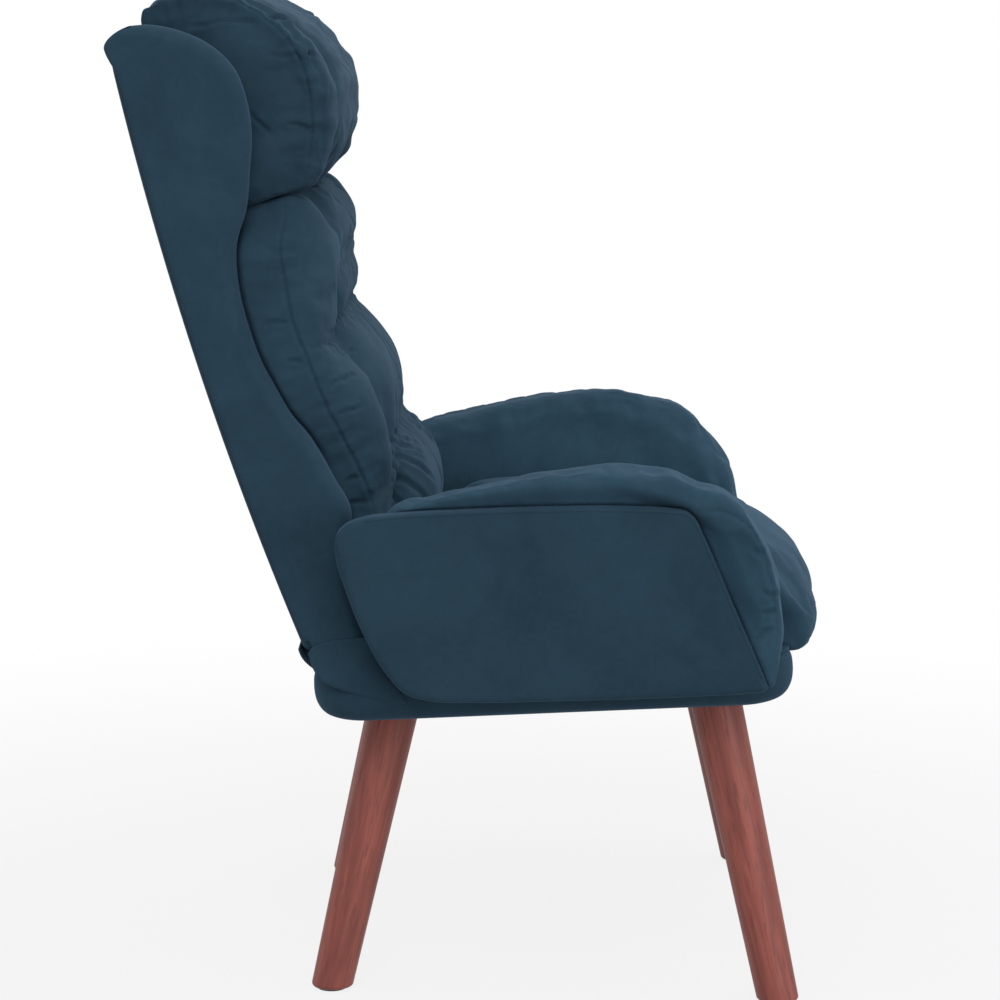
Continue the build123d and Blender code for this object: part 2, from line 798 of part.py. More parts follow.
# Rear panel: closes the back of the shell and turns forward over the top rail
with BuildPart() as rear_back_panel:
    with BuildSketch(back_side(panel_side_inset - shell_half_width)):
        with BuildLine():
            outer = rear_arc(0, panel_foot, wing_length - panel_top_inset)
            inner = rear_arc(rear_panel_thickness, panel_foot, wing_length - panel_top_inset)
            Line(outer @ 0, inner @ 0)
            Line(outer @ 1, inner @ 1)
        make_face()
    extrude(amount=2 * (shell_half_width - panel_side_inset))
    roll_bottom = wing_length - top_rail_drop + back_rail_height / 2 + soft_gap
    with BuildSketch(back_side(soft_gap - wing_inner)):
        with Locations((-top_roll_depth, roll_bottom)):
            Rectangle(
                top_roll_depth,
                wing_length - panel_top_inset - roll_bottom,
                align=(Align.MIN, Align.MIN),
            )
    extrude(amount=2 * (wing_inner - soft_gap))
save(rear_back_panel, "rear_back_panel")

# Back cushion: stitched channels that bulge forward one above the other
joint_up = back_length - head_cushion_height
channels = lower_channels + tuple((joint_up - drop, out) for drop, out in upper_channel_drops)
cushion_foot = [(-max(out, cushion_rear), up) for up, out in back_cushion_foot]
with BuildPart() as back_cushion:
    with BuildSketch(back_side(-cushion_half_width)):
        with BuildLine():
            for (low, low_out), (high, high_out), bulge in zip(channels, channels[1:], channel_bulges):
                ThreePointArc(
                    (-low_out, low),
                    (-(low_out + high_out) / 2 - bulge, (low + high) / 2),
                    (-high_out, high),
                )
            Polyline(
                (-channels[-1][1], channels[-1][0]),
                (-cushion_rear, channels[-1][0]),
                *cushion_foot,
                (-channels[0][1], channels[0][0]),
            )
        make_face()
    extrude(amount=2 * cushion_half_width)
save(back_cushion, "back_cushion")

head_bottom = joint_up + soft_gap
head_neck_point = (-head_neck, head_bottom)
head_rear_points = [(-forward, back_length - drop) for forward, drop in head_rear_profile]
with BuildPart() as head_cushion:
    with BuildSketch(back_side(-cushion_half_width)):
        with BuildLine():
            Polyline(
                head_rear_points[-1],
                (-cushion_rear, back_length - head_rear_drop),
                (-cushion_rear, head_bottom),
                head_neck_point,
            )
            Spline(
                head_neck_point,
                *[(-forward, back_length - drop) for forward, drop in head_profile],
                (-crown_forward, back_length),
                *head_rear_points,
            )
        make_face()
    extrude(amount=2 * cushion_half_width)
save(head_cushion, "head_cushion")

# Hinge pieces on each side: a fixed bracket, the plate on the stile, the pivot pin, and the pawl
teeth = []
for i in range(2 * tooth_count):
    angle = radians(sector_start + i * tooth_step / 2)
    reach = sector_radius - (0 if i % 2 else tooth_depth)
    teeth.append((hinge_spot[0] + reach * cos(angle), hinge_spot[1] + reach * sin(angle)))
flange_width = bracket_flange_width
for hand, side in sides:
    with BuildPart() as hinge_bracket:
        with BuildSketch(seat_side(side * bracket_inner)):
            with Locations((flange_middle, board_top)):
                Rectangle(bracket_flange_depth, hinge_plate_thickness, align=(Align.CENTER, Align.MIN))
            with Locations((hinge_back, hinge_up)):
                Circle(pivot_boss_radius)
            with Locations((pawl_back, pawl_up)):
                Circle(pawl_radius + bracket_pawl_rim)
            make_hull()
            with Locations((hinge_back, hinge_up)):
                Circle(pivot_pin_radius + pin_fit, mode=Mode.SUBTRACT)
            with Locations((pawl_back, pawl_up)):
                Circle(pawl_pin_radius + pin_fit, mode=Mode.SUBTRACT)
        extrude(amount=side * hinge_plate_thickness)
        with BuildSketch(seat_level(board_top)):
            with Locations((side * (bracket_inner - flange_width / 2), flange_middle)):
                Rectangle(flange_width, bracket_flange_depth)
            with Locations(*bracket_screw_spots):
                Circle(bracket_screw_radius + screw_fit, mode=Mode.SUBTRACT)
        extrude(amount=hinge_plate_thickness)
    save(hinge_bracket, f"{hand}_hinge_bracket")

    with BuildPart() as hinge_plate:
        with BuildSketch(back_side(side * plate_inner)):
            with Locations((-hinge_in_shell, hinge_above_shell)):
                Rectangle(
                    hinge_plate_width,
                    hinge_plate_reach - hinge_above_shell,
                    align=(Align.CENTER, Align.MIN),
                )
                Circle(pivot_boss_radius - bracket_pawl_rim)
            with BuildLine():
                Polyline(hinge_spot, *teeth, hinge_spot)
            make_face()
            with Locations(hinge_spot):
                Circle(pivot_pin_radius + pin_fit, mode=Mode.SUBTRACT)
            with Locations(*hinge_bolt_spots):
                Circle(hinge_bolt_radius + screw_fit, mode=Mode.SUBTRACT)
        extrude(amount=side * hinge_plate_thickness)
    save(hinge_plate, f"{hand}_hinge_plate")

    with BuildPart() as pivot_pin:
        with BuildSketch(seat_side(side * (bracket_inner - pivot_head_height))):
            with Locations((hinge_back, hinge_up)):
                Circle(pivot_head_radius)
        extrude(amount=side * pivot_head_height)
        with BuildSketch(seat_side(side * bracket_inner)):
            with Locations((hinge_back, hinge_up)):
                Circle(pivot_pin_radius)
        extrude(amount=side * (plate_outer - bracket_inner))
    save(pivot_pin, f"{hand}_pivot_pin")

    with BuildPart() as pawl:
        with BuildSketch(seat_side(side * plate_inner)):
            tip_distance = sector_radius + pawl_tooth_gap + pawl_tip_radius
            tip = (
                hinge_back + tip_distance * cos(pawl_direction),
                hinge_up + tip_distance * sin(pawl_direction),
            )
            with Locations((pawl_back, pawl_up)):
                Circle(pawl_radius)
            with Locations(tip):
                Circle(pawl_tip_radius)
            make_hull()
            with Locations((pawl_back, pawl_up)):
                Circle(pawl_pin_radius + pin_fit, mode=Mode.SUBTRACT)
        extrude(amount=side * hinge_plate_thickness)
    save(pawl, f"{hand}_pawl")

    spring_start = bracket_inner - pawl_spring_length - joint_gap
    with BuildPart() as pawl_pin:
        with BuildSketch(seat_side(side * (spring_start - joint_gap - pawl_pin_head_height))):
            with Locations((pawl_back, pawl_up)):
                Circle(pawl_pin_head_radius)
        extrude(amount=side * pawl_pin_head_height)
        with BuildSketch(seat_side(side * (spring_start - joint_gap))):
            with Locations((pawl_back, pawl_up)):
                Circle(pawl_pin_radius)
        extrude(amount=side * (plate_outer - spring_start + joint_gap))
    save(pawl_pin, f"{hand}_pawl_pin")

    coil_length = pawl_spring_length - pawl_spring_wire
    pawl_y, pawl_z = shift(seat_origin, seat_pitch, pawl_back, pawl_up)
    coil_start = side * (spring_start + pawl_spring_wire / 2)
    with BuildPart() as pawl_spring:
        with BuildLine() as coil:
            Helix(
                pitch=coil_length / pawl_spring_turns,
                height=coil_length,
                radius=pawl_pin_radius + pawl_spring_wire / 2 + pawl_spring_gap,
                center=(coil_start, pawl_y, pawl_z),
                direction=(side, 0, 0),
            )
        with BuildSketch(Plane(origin=coil.line @ 0, z_dir=coil.line % 0)):
            Circle(pawl_spring_wire / 2)
        sweep(path=coil.line)
    save(pawl_spring, f"{hand}_pawl_spring")

with BuildPart() as bracket_screws:
    with BuildSketch(seat_level(board_top + hinge_plate_thickness)):
        with Locations(*bracket_screw_spots):
            Circle(bracket_screw_head_radius)
    extrude(amount=bracket_screw_head_height)
    with BuildSketch(seat_level(board_top + hinge_plate_thickness)):
        with Locations(*bracket_screw_spots):
            Circle(bracket_screw_radius)
    extrude(amount=-bracket_screw_length)
save(bracket_screws, "bracket_screws")

with BuildPart() as hinge_bolts:
    for _, side in sides:
        with BuildSketch(back_side(side * plate_inner)):
            with Locations(*hinge_bolt_spots):
                Circle(hinge_bolt_head_radius)
        extrude(amount=-side * hinge_bolt_head_height)
        with BuildSketch(back_side(side * plate_inner)):
            with Locations(*hinge_bolt_spots):
                Circle(hinge_bolt_radius)
        extrude(amount=side * hinge_bolt_length)
save(hinge_bolts, "hinge_bolts")
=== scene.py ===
"""Winged recliner armchair: velvet upholstery round a timber frame, on four tapered wooden legs."""

import json
import math

import bmesh
import bpy
import numpy as np
from bpy.props import FloatProperty, FloatVectorProperty, PointerProperty
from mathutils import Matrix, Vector


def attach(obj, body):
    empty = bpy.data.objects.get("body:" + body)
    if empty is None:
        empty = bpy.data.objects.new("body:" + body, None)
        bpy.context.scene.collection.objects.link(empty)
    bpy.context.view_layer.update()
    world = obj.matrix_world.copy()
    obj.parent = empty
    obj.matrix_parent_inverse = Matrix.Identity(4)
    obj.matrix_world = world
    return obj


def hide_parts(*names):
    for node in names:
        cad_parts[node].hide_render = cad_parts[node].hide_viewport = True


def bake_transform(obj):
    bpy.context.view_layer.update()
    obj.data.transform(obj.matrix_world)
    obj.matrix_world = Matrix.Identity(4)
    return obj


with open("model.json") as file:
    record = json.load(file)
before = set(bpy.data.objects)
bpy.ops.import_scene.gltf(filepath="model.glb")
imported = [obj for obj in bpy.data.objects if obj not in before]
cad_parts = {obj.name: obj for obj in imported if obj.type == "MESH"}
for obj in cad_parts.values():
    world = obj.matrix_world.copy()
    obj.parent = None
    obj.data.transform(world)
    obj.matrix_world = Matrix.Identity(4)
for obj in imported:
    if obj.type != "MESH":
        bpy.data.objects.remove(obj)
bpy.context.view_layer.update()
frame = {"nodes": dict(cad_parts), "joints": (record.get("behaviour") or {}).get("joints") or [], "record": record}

bl_info = {
    "name": "Winged recliner armchair",
    "version": (1, 0, 0),
    "blender": (4, 5, 0),
    "location": "3D View > Sidebar > Armchair",
    "description": "Builds the covers, cushions, finishes and stage of a reclining armchair",
    "category": "Object",
}

MM = 0.001
HINGE = np.array(frame["joints"][0]["pos_m"])
SIDES = (("left", 1.0), ("right", -1.0))

# The two tilted frames that the covers are drawn in. The seat frame starts at the underside of the
# base. The back frame starts at the rear lower corner of the shell and turns with the backrest.
SEAT_PITCH = math.radians(2.4)
SEAT_START = np.array((0.0, 0.2925))
BACK_RAKE = math.radians(17.3)
HINGE_IN_BACK = (0.044, 0.015)
BACK_START = np.array(
    (
        HINGE[1] + HINGE_IN_BACK[0] * math.cos(BACK_RAKE) - HINGE_IN_BACK[1] * math.sin(BACK_RAKE),
        HINGE[2] - HINGE_IN_BACK[0] * math.sin(BACK_RAKE) - HINGE_IN_BACK[1] * math.cos(BACK_RAKE),
    )
)

WING_LENGTH = 0.632
SHELL_HALF_WIDTH = 0.285
SHELL_BOW = 0.014
PANEL_THICKNESS = 0.010
PANEL_FOOT, PANEL_TOP = 0.003, 0.628
PANEL_CORNER = 0.038
FOOT_CORNER = 0.010
CUSHION_HALF_WIDTH = 0.240
SEAT_HALF_WIDTH = 0.244
DECK_UP = 0.050

# Inner face of a wing: its distance from the middle beside the cushion, where it steps out for the
# hinge and the cushion's rear, and at most round the rear panel, which it clears by PANEL_GAP
WING_INNER, WING_INNER_DEEP, WING_INNER_MOST = 0.244, 0.2563, 0.280
PANEL_GAP = 0.0007

# Two rolls of the rear panel over the shell's top, as half width, forward range, range up the back
# and the rounding of the upper face
PANEL_ROLLS = (
    (CUSHION_HALF_WIDTH + 0.0035, (0.002, 0.033), (0.6165, 0.628), (0.005, 0.006)),
    (0.2558, (0.0108, 0.0325), (0.612, 0.626), (0.004, 0.005)),
)

# How far the back cushion billows: its sides towards the wings, its lower sides beside the hinge and
# what is added in front of it, its lower edge downwards and what is added at its corners
BILLOW = 0.026
LOW_SIDE, LOW_SIDE_MORE = 0.007, 0.005
EDGE_DROP, CORNER_DROP = 0.010, 0.019

# Frames that a cushion's cloth is given to swell, and how far in front of the shell it is held
SWELL_FRAMES = 20
HELD_DEPTH = 0.042


# ---------------------------------------------------------------- frames


def on_back(x, forward, up):
    """Points of the back frame as points of the chair: forward is towards the sitter, up the back."""
    x, forward, up = np.broadcast_arrays(x, forward, up)
    cos, sin = math.cos(BACK_RAKE), math.sin(BACK_RAKE)
    y = BACK_START[0] - forward * cos + up * sin
    z = BACK_START[1] + forward * sin + up * cos
    return np.stack((x, y, z), axis=-1)


def from_back(points):
    """The chair's points in the back frame, as columns x, forward and up."""
    cos, sin = math.cos(BACK_RAKE), math.sin(BACK_RAKE)
    y = points[..., 1] - BACK_START[0]
    z = points[..., 2] - BACK_START[1]
    return np.stack((points[..., 0], z * sin - y * cos, y * sin + z * cos), axis=-1)


def on_seat(x, rear, up):
    """Points of the seat frame as points of the chair: rear is away from the sitter's knees."""
    x, rear, up = np.broadcast_arrays(x, rear, up)
    cos, sin = math.cos(SEAT_PITCH), math.sin(SEAT_PITCH)
    y = SEAT_START[0] + rear * cos + up * sin
    z = SEAT_START[1] - rear * sin + up * cos
    return np.stack((x, y, z), axis=-1)


def rear_bow(up):
    """How far the shell's rear face stands behind its chord: a parabola over the wing's length."""
    return SHELL_BOW * (1 - (2 * up / WING_LENGTH - 1) ** 2)


# ---------------------------------------------------------------- curves and meshes


def crowded(count):
    """Numbers from 0 to 1 that lie closer together at both ends: (1 - cos(pi * t)) / 2."""
    return (1 - np.cos(np.linspace(0, math.pi, count))) / 2


def pairs(first, second):
    """Two rows of numbers as the points of a plane."""
    return np.stack((first, second), axis=1)


def smooth_curve(knots, count, closed=False):
    """Cubic Hermite curve through knots with Catmull-Rom slopes, as count points evenly along it."""
    knots = np.asarray(knots, float)
    if closed:
        knots = np.vstack((knots[-1], knots, knots[:2]))
    chord = np.concatenate(((0.0,), np.cumsum(np.linalg.norm(np.diff(knots, axis=0), axis=1))))
    slope = np.gradient(knots, chord, axis=0)
    first, last = (1, len(knots) - 2) if closed else (0, len(knots) - 1)
    at = np.linspace(chord[first], chord[last], 40 * len(knots))
    i = np.clip(np.searchsorted(chord, at, side="right") - 1, 0, len(knots) - 2)
    span = (chord[i + 1] - chord[i])[:, None]
    t = ((at - chord[i]) / span[:, 0])[:, None]
    fine = (
        (2 * t**3 - 3 * t**2 + 1) * knots[i]
        + (t**3 - 2 * t**2 + t) * span * slope[i]
        + (3 * t**2 - 2 * t**3) * knots[i + 1]
        + (t**3 - t**2) * span * slope[i + 1]
    )
    return even_points(fine, count, closed)


def even_points(line, count, closed=False):
    """The polyline line resampled to count points at even spacing along its length."""
    run = np.concatenate(((0.0,), np.cumsum(np.linalg.norm(np.diff(line, axis=0), axis=1))))
    at = np.linspace(0, run[-1], count + 1 if closed else count)
    if closed:
        at = at[:-1]
    return np.stack([np.interp(at, run, line[:, k]) for k in range(line.shape[1])], axis=1)


def distance_to_line(points, line):
    """Distance of every point to the polyline line, and how far along the line the nearest spot is."""
    start, step = line[:-1], np.diff(line, axis=0)
    length = np.linalg.norm(step, axis=1)
    run = np.concatenate(((0.0,), np.cumsum(length)))[:-1]
    best = np.full(len(points), 1e9)
    along = np.zeros(len(points))
    for a, d, size, before in zip(start, step, length, run):
        t = np.clip(((points - a) @ d) / max(size * size, 1e-12), 0, 1)
        gap = np.linalg.norm(points - a - t[:, None] * d, axis=1)
        nearer = gap < best
        best[nearer] = gap[nearer]
        along[nearer] = before + t[nearer] * size
    return best, along


def grid_faces(rows, columns, first=0):
    """Quads of a grid of rows by columns vertices that starts at vertex number first."""
    corner = (np.arange(rows - 1)[:, None] * columns + np.arange(columns - 1)[None, :]).ravel() + first
    return np.stack((corner, corner + 1, corner + columns + 1, corner + columns), axis=1)


def mesh_piece(name, grids):
    """A smooth piece from grids of points: seams and poles are welded, faces point outwards."""
    points = np.vstack([g.reshape(-1, 3) for g in grids])
    faces, first = [], 0
    for g in grids:
        faces.append(grid_faces(g.shape[0], g.shape[1], first))
        first += g.shape[0] * g.shape[1]
    faces = np.vstack(faces)
    mesh = bpy.data.meshes.new(name)
    mesh.vertices.add(len(points))
    mesh.vertices.foreach_set("co", points.astype(np.float32).ravel())
    mesh.loops.add(4 * len(faces))
    mesh.loops.foreach_set("vertex_index", faces.astype(np.int32).ravel())
    mesh.polygons.add(len(faces))
    mesh.polygons.foreach_set("loop_start", np.arange(0, 4 * len(faces), 4, dtype=np.int32))
    mesh.update(calc_edges=True)
    work = bmesh.new()
    work.from_mesh(mesh)
    bmesh.ops.remove_doubles(work, verts=work.verts, dist=2e-6)
    bmesh.ops.dissolve_degenerate(work, edges=work.edges, dist=1e-7)
    bmesh.ops.recalc_face_normals(work, faces=work.faces)
    work.to_mesh(mesh)
    work.free()
    mesh.shade_smooth()
    return add_object(name, mesh)


def add_object(name, data):
    """A new object of the scene, made from a mesh, a light or a camera."""
    thing = bpy.data.objects.new(name, data)
    bpy.context.scene.collection.objects.link(thing)
    return thing


def slab_grids(first_edge, second_edge, place, low, high, low_round, high_round, crown=0.0, columns=26):
    """Grids of a padded slab between two edge curves of a plane.

    A point of the plane is first + (second - first) * (1 - cos(pi * u)) / 2. Each face stands at its
    level less r * (1 - sqrt(1 - (1 - d / r)^2)), where d is the distance to the outline and r the
    rounding, plus crown * (1 - exp(-d / 25 mm)). A band round the outline joins the two faces. A
    rounding runs from its first value at the first edge to its second value at the second edge.
    """
    rows = len(first_edge)
    u = crowded(columns)
    flat = first_edge[:, None, :] * (1 - u)[None, :, None] + second_edge[:, None, :] * u[None, :, None]
    up, across = np.arange(rows), np.arange(1, columns)
    ring_rows = np.concatenate((up, np.full(columns - 1, rows - 1), up[-2::-1], np.zeros(columns - 1, int)))
    ring_columns = np.concatenate((0 * up, across, np.full(rows - 1, columns - 1), across[::-1] - 1))
    loop = flat[ring_rows, ring_columns]
    gap = distance_to_line(flat.reshape(-1, 2), loop)[0].reshape(rows, columns)
    gap[ring_rows, ring_columns] = 0
    ease = (3 * u**2 - 2 * u**3)[None, :] + 0 * gap
    grids, rims = [], []
    for level, rounding, sign in ((low, low_round, -1), (high, high_round, 1)):
        r = rounding[0] + (rounding[1] - rounding[0]) * ease
        sink = r * (1 - np.sqrt(1 - (1 - np.clip(gap / r, 0, 1)) ** 2))
        base = level(flat[..., 0], flat[..., 1]) if callable(level) else level
        height = base - sign * sink + sign * crown * (1 - np.exp(-gap / 0.025))
        grids.append(place(flat[..., 0], flat[..., 1], height))
        rims.append(height[ring_rows, ring_columns])
    t = np.linspace(0, 1, 5)[None, :]
    band = rims[0][:, None] * (1 - t) + rims[1][:, None] * t
    grids.append(place(loop[:, None, 0] + 0 * band, loop[:, None, 1] + 0 * band, band))
    return grids


def tube_grid(line, radius, around=10, start_side=(1.0, 0.0, 0.0)):
    """Grids of a round tube along a polyline: circles square to the line, closed by end points."""
    line = np.asarray(line, float)
    along = np.gradient(line, axis=0)
    along /= np.linalg.norm(along, axis=1)[:, None]
    side = np.cross(along, np.asarray(start_side, float))
    side /= np.linalg.norm(side, axis=1)[:, None]
    other = np.cross(along, side)
    angle = np.linspace(0, 2 * math.pi, around + 1)[None, :, None]
    angle = np.where(angle == 2 * math.pi, 0.0, angle)
    taper = np.ones(len(line))
    taper[0] = taper[-1] = 0
    r = (radius * taper)[:, None, None]
    return [line[:, None] + r * (side[:, None] * np.cos(angle) + other[:, None] * np.sin(angle))]


def cushion_grids(end, ridge, middle, half_width, ridge_at, place, puff=0.006, groove=None, columns=91):
    """Grids of a box cushion that lies across the chair.

    Its closed outline is end at x = +-half_width, ridge at +-ridge_at and middle at x = 0. From the
    end to the ridge it follows a quarter of a superellipse of power 2.2, and from the ridge to the
    middle it follows 3s^2 - 2s^3, less groove * sin(pi * 1.5 * s)^2 beside the ridge. Each side
    closes on the line through the middle of its outline, and stands out there by puff.
    """
    t = np.linspace(-1, 1, columns)
    x = half_width * np.sin(t * math.pi / 2)
    outer = np.clip((half_width - np.abs(x)) / (half_width - ridge_at), 0, 1)
    rise = (1 - (1 - outer) ** 2.2) ** (1 / 2.2)
    s = np.clip((ridge_at - np.abs(x)) / (0.5 * ridge_at), 0, 1)
    ease = s * s * (3 - 2 * s)
    to_ridge = (ridge - end)[None] * rise[:, None, None]
    to_middle = (middle - ridge)[None] * ease[:, None, None]
    rings = end[None] + to_ridge + to_middle
    if groove is not None:
        rings += groove[None] * (np.sin(np.minimum(1.5 * s, 1) * math.pi) ** 2)[:, None, None]
    shut = np.concatenate((rings, rings[:, :1]), axis=1)
    grids = [place(x[:, None] + 0 * shut[..., 0], shut[..., 0], shut[..., 1])]
    low, high = end[:, 1].min(), end[:, 1].max()
    margin = 0.1 * (high - low)
    level = np.clip(end[:, 1], low + margin, high - margin)
    centre = np.interp(level, *spine_of(end, low, high, len(end) // 2))
    spine = pairs(centre, level)
    s = np.linspace(0, 1, 12)[:, None, None]
    face = end[None] * (1 - s) + spine[None] * s
    face = np.concatenate((face, face[:, :1]), axis=1)
    lift = puff * np.sin(s * math.pi / 2) + 0 * face[..., :1]
    for side in (-1, 1):
        grids.append(place(side * (half_width + lift[..., 0]), face[..., 0], face[..., 1]))
    return grids


def spine_of(outline, low, high, count):
    """The middle line of a closed outline: for levels from low to high, halfway between its sides."""
    levels = np.linspace(low + 1e-4, high - 1e-4, count)
    shut = np.vstack((outline, outline[:1]))
    a, b = shut[:-1], shut[1:]
    middles = []
    for level in levels:
        cross = (a[:, 1] - level) * (b[:, 1] - level) <= 0
        t = (level - a[cross, 1]) / np.where(b[cross, 1] == a[cross, 1], 1e-9, b[cross, 1] - a[cross, 1])
        hits = a[cross, 0] + np.clip(t, 0, 1) * (b[cross, 0] - a[cross, 0])
        middles.append((hits.min() + hits.max()) / 2)
    return levels, np.array(middles)


def coordinates(piece):
    """The piece's vertices and their normals, as two arrays."""
    count = len(piece.data.vertices)
    points = np.empty(3 * count, np.float32)
    normals = np.empty(3 * count, np.float32)
    piece.data.vertices.foreach_get("co", points)
    piece.data.vertices.foreach_get("normal", normals)
    return points.reshape(-1, 3).astype(float), normals.reshape(-1, 3).astype(float)


def set_coordinates(piece, points):
    """Moves the piece's vertices to points."""
    piece.data.vertices.foreach_set("co", points.astype(np.float32).ravel())
    piece.data.update()


def bake_modifiers(piece):
    """Replaces the piece's mesh by what its modifiers make of it, and removes them."""
    view = bpy.context.evaluated_depsgraph_get()
    made = bpy.data.meshes.new_from_object(piece.evaluated_get(view))
    piece.modifiers.clear()
    old = piece.data
    piece.data = made
    bpy.data.meshes.remove(old)
    made.name = piece.name
    made.shade_smooth()


def thicken(piece, thickness):
    """Gives an open sheet its thickness, half of it on each side."""
    wall = piece.modifiers.new("cloth", "SOLIDIFY")
    wall.thickness = thickness
    wall.offset = 0
    bake_modifiers(piece)


def stuff(piece, pressure, limit, held=None, voxel=0.005, surplus=0.0, take_in=0.0, levels=1):
    """Turns a closed shape into a stuffed one: an even mesh, swollen as cloth, then subdivided.

    held gives each vertex's hold from 0 to 1 as a function of the points, and limit is the most that
    a point may move. surplus is how much longer the cloth is than the shape. The shape is first
    taken in by take_in along its normals, where it isn't held, to leave room for the swelling.
    """
    even = piece.modifiers.new("even_mesh", "REMESH")
    even.mode = "VOXEL"
    even.voxel_size = voxel
    bake_modifiers(piece)
    start, normals = coordinates(piece)
    if take_in:
        loose = 1 - held(start) if held is not None else np.ones(len(start))
        start = start - normals * (take_in * loose)[:, None]
        set_coordinates(piece, start)
    if pressure > 0:
        cloth = piece.modifiers.new("swell", "CLOTH")
        settings = cloth.settings
        settings.mass = 0.3
        settings.use_pressure = True
        settings.uniform_pressure_force = pressure
        settings.effector_weights.gravity = 0
        settings.tension_stiffness = 12
        settings.compression_stiffness = 12
        settings.shear_stiffness = 6
        settings.bending_stiffness = 0.6
        settings.shrink_min = -surplus
        if held is not None:
            group = piece.vertex_groups.new(name="held")
            hold = held(start)
            for k in np.flatnonzero(hold > 0.02):
                group.add((int(k),), float(hold[k]), "REPLACE")
            settings.vertex_group_mass = "held"
        scene = bpy.context.scene
        scene.frame_start, scene.frame_end = 1, SWELL_FRAMES
        cloth.point_cache.frame_start, cloth.point_cache.frame_end = 1, SWELL_FRAMES
        for number in range(1, SWELL_FRAMES + 1):
            scene.frame_set(number)
        bake_modifiers(piece)
        moved, _ = coordinates(piece)
        step = moved - start
        size = np.linalg.norm(step, axis=1)
        step *= (np.minimum(size, limit) / np.maximum(size, 1e-9))[:, None]
        set_coordinates(piece, start + step)
        scene.frame_set(1)
    if levels:
        finer = piece.modifiers.new("finer", "SUBSURF")
        finer.levels = finer.render_levels = levels
        bake_modifiers(piece)
    piece.vertex_groups.clear()


def near_line(points, line, margin):
    """Which points lie within margin of the line's box, their distances to the line, how far along it
    they are, and its length. The line's points are first moved to the nearest of the points, so that
    it lies on the surface."""
    line = np.asarray(line, float)
    near = np.array([points[np.argmin(((points - p) ** 2).sum(1))] for p in line])
    close = np.all((points > near.min(0) - margin) & (points < near.max(0) + margin), axis=1)
    gap, along = distance_to_line(points[close], near)
    return close, gap, along, np.linalg.norm(np.diff(near, axis=0), axis=1).sum()


def press(piece, lines, width, depth, lip=0.0):
    """Sews lines into a piece: with s = (d / width)^2, where d is a vertex's distance to the nearest
    line, it sinks along its normal by depth * exp(-s) and rises by lip * s * exp(1 - s)."""
    points, normals = coordinates(piece)
    move = np.zeros(len(points))
    for line in lines:
        close, gap, along, whole = near_line(points, line, 5 * width)
        fade = np.clip(np.minimum(along, whole - along) / max(0.2 * whole, 1e-6), 0, 1) ** 0.5
        share = (gap / width) ** 2
        effect = (-depth * np.exp(-share) + lip * share * np.exp(1 - share)) * fade
        stronger = np.abs(effect) > np.abs(move[close])
        move[np.flatnonzero(close)[stronger]] = effect[stronger]
    set_coordinates(piece, points + normals * move[:, None])


def gather(piece, lines, wave, depth, reach, seed):
    """Gathers a piece along sewn lines: a vertex moves along its normal by
    depth * sin(2 pi * phase) * exp(-(d / reach)^2), where d is its distance to the line and phase
    counts uneven pleats of about the length wave along it."""
    points, normals = coordinates(piece)
    move = np.zeros(len(points))
    dice = np.random.default_rng(seed)
    for line in lines:
        close, gap, along, whole = near_line(points, line, 3 * reach)
        marks = np.cumsum(dice.uniform(0.6, 1.4, int(whole / wave) + 3)) * wave
        phase = np.interp(along, np.concatenate(((0.0,), marks)), np.arange(len(marks) + 1))
        strength = np.interp(phase, np.arange(len(marks) + 1), dice.uniform(0.25, 1.0, len(marks) + 1))
        move[close] += depth * strength * np.sin(2 * math.pi * phase) * np.exp(-((gap / reach) ** 2))
    set_coordinates(piece, points + normals * move[:, None])


def ripple(points, scale, seed):
    """Smooth random heights from -1 to 1: the mean of twelve sine waves of length about scale."""
    dice = np.random.default_rng(seed)
    total = np.zeros(len(points))
    for _ in range(12):
        turn = dice.normal(size=3)
        turn /= np.linalg.norm(turn)
        wave = 2 * math.pi / (scale * dice.uniform(0.7, 1.5))
        total += np.sin(points @ turn * wave + dice.uniform(0, 2 * math.pi))
    return np.clip(total / 3.5, -1, 1)


def finish_piece(piece, material, slot, body, *nodes):
    """Gives a piece its material, lets it ride on a body and stand for its CAD nodes. slot is not used."""
    piece.data.materials.clear()
    piece.data.materials.append(material)
    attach(piece, body)
    if nodes:
        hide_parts(*nodes)
    return piece


# ---------------------------------------------------------------- shader groups and materials


def shader_group(name, inputs, outputs):
    """A new shader node group with float or colour inputs and outputs, and its two end nodes."""
    tree = bpy.data.node_groups.new(name, "ShaderNodeTree")
    for label, kind, value in inputs:
        socket = tree.interface.new_socket(label, in_out="INPUT", socket_type=kind)
        socket.default_value = value
    for label, kind in outputs:
        tree.interface.new_socket(label, in_out="OUTPUT", socket_type=kind)
    return tree, tree.nodes.new("NodeGroupInput"), tree.nodes.new("NodeGroupOutput")


def noise(tree, vector, scale, detail, rough=0.5, distortion=0.0):
    """A noise texture's value at vector; its scale is a number or a socket."""
    node = tree.nodes.new("ShaderNodeTexNoise")
    tree.links.new(vector, node.inputs["Vector"])
    node.inputs["Detail"].default_value = detail
    node.inputs["Roughness"].default_value = rough
    node.inputs["Distortion"].default_value = distortion
    if isinstance(scale, (int, float)):
        node.inputs["Scale"].default_value = scale
    else:
        tree.links.new(scale, node.inputs["Scale"])
    return node.outputs["Fac"]


def math_node(tree, operation, a, b=0.0, c=None):
    """A math node's value; each operand is a number or a socket."""
    node = tree.nodes.new("ShaderNodeMath")
    node.operation = operation
    for socket, value in zip(node.inputs, (a, b, c)):
        if value is None:
            continue
        if isinstance(value, (int, float)):
            socket.default_value = value
        else:
            tree.links.new(value, socket)
    return node.outputs[0]


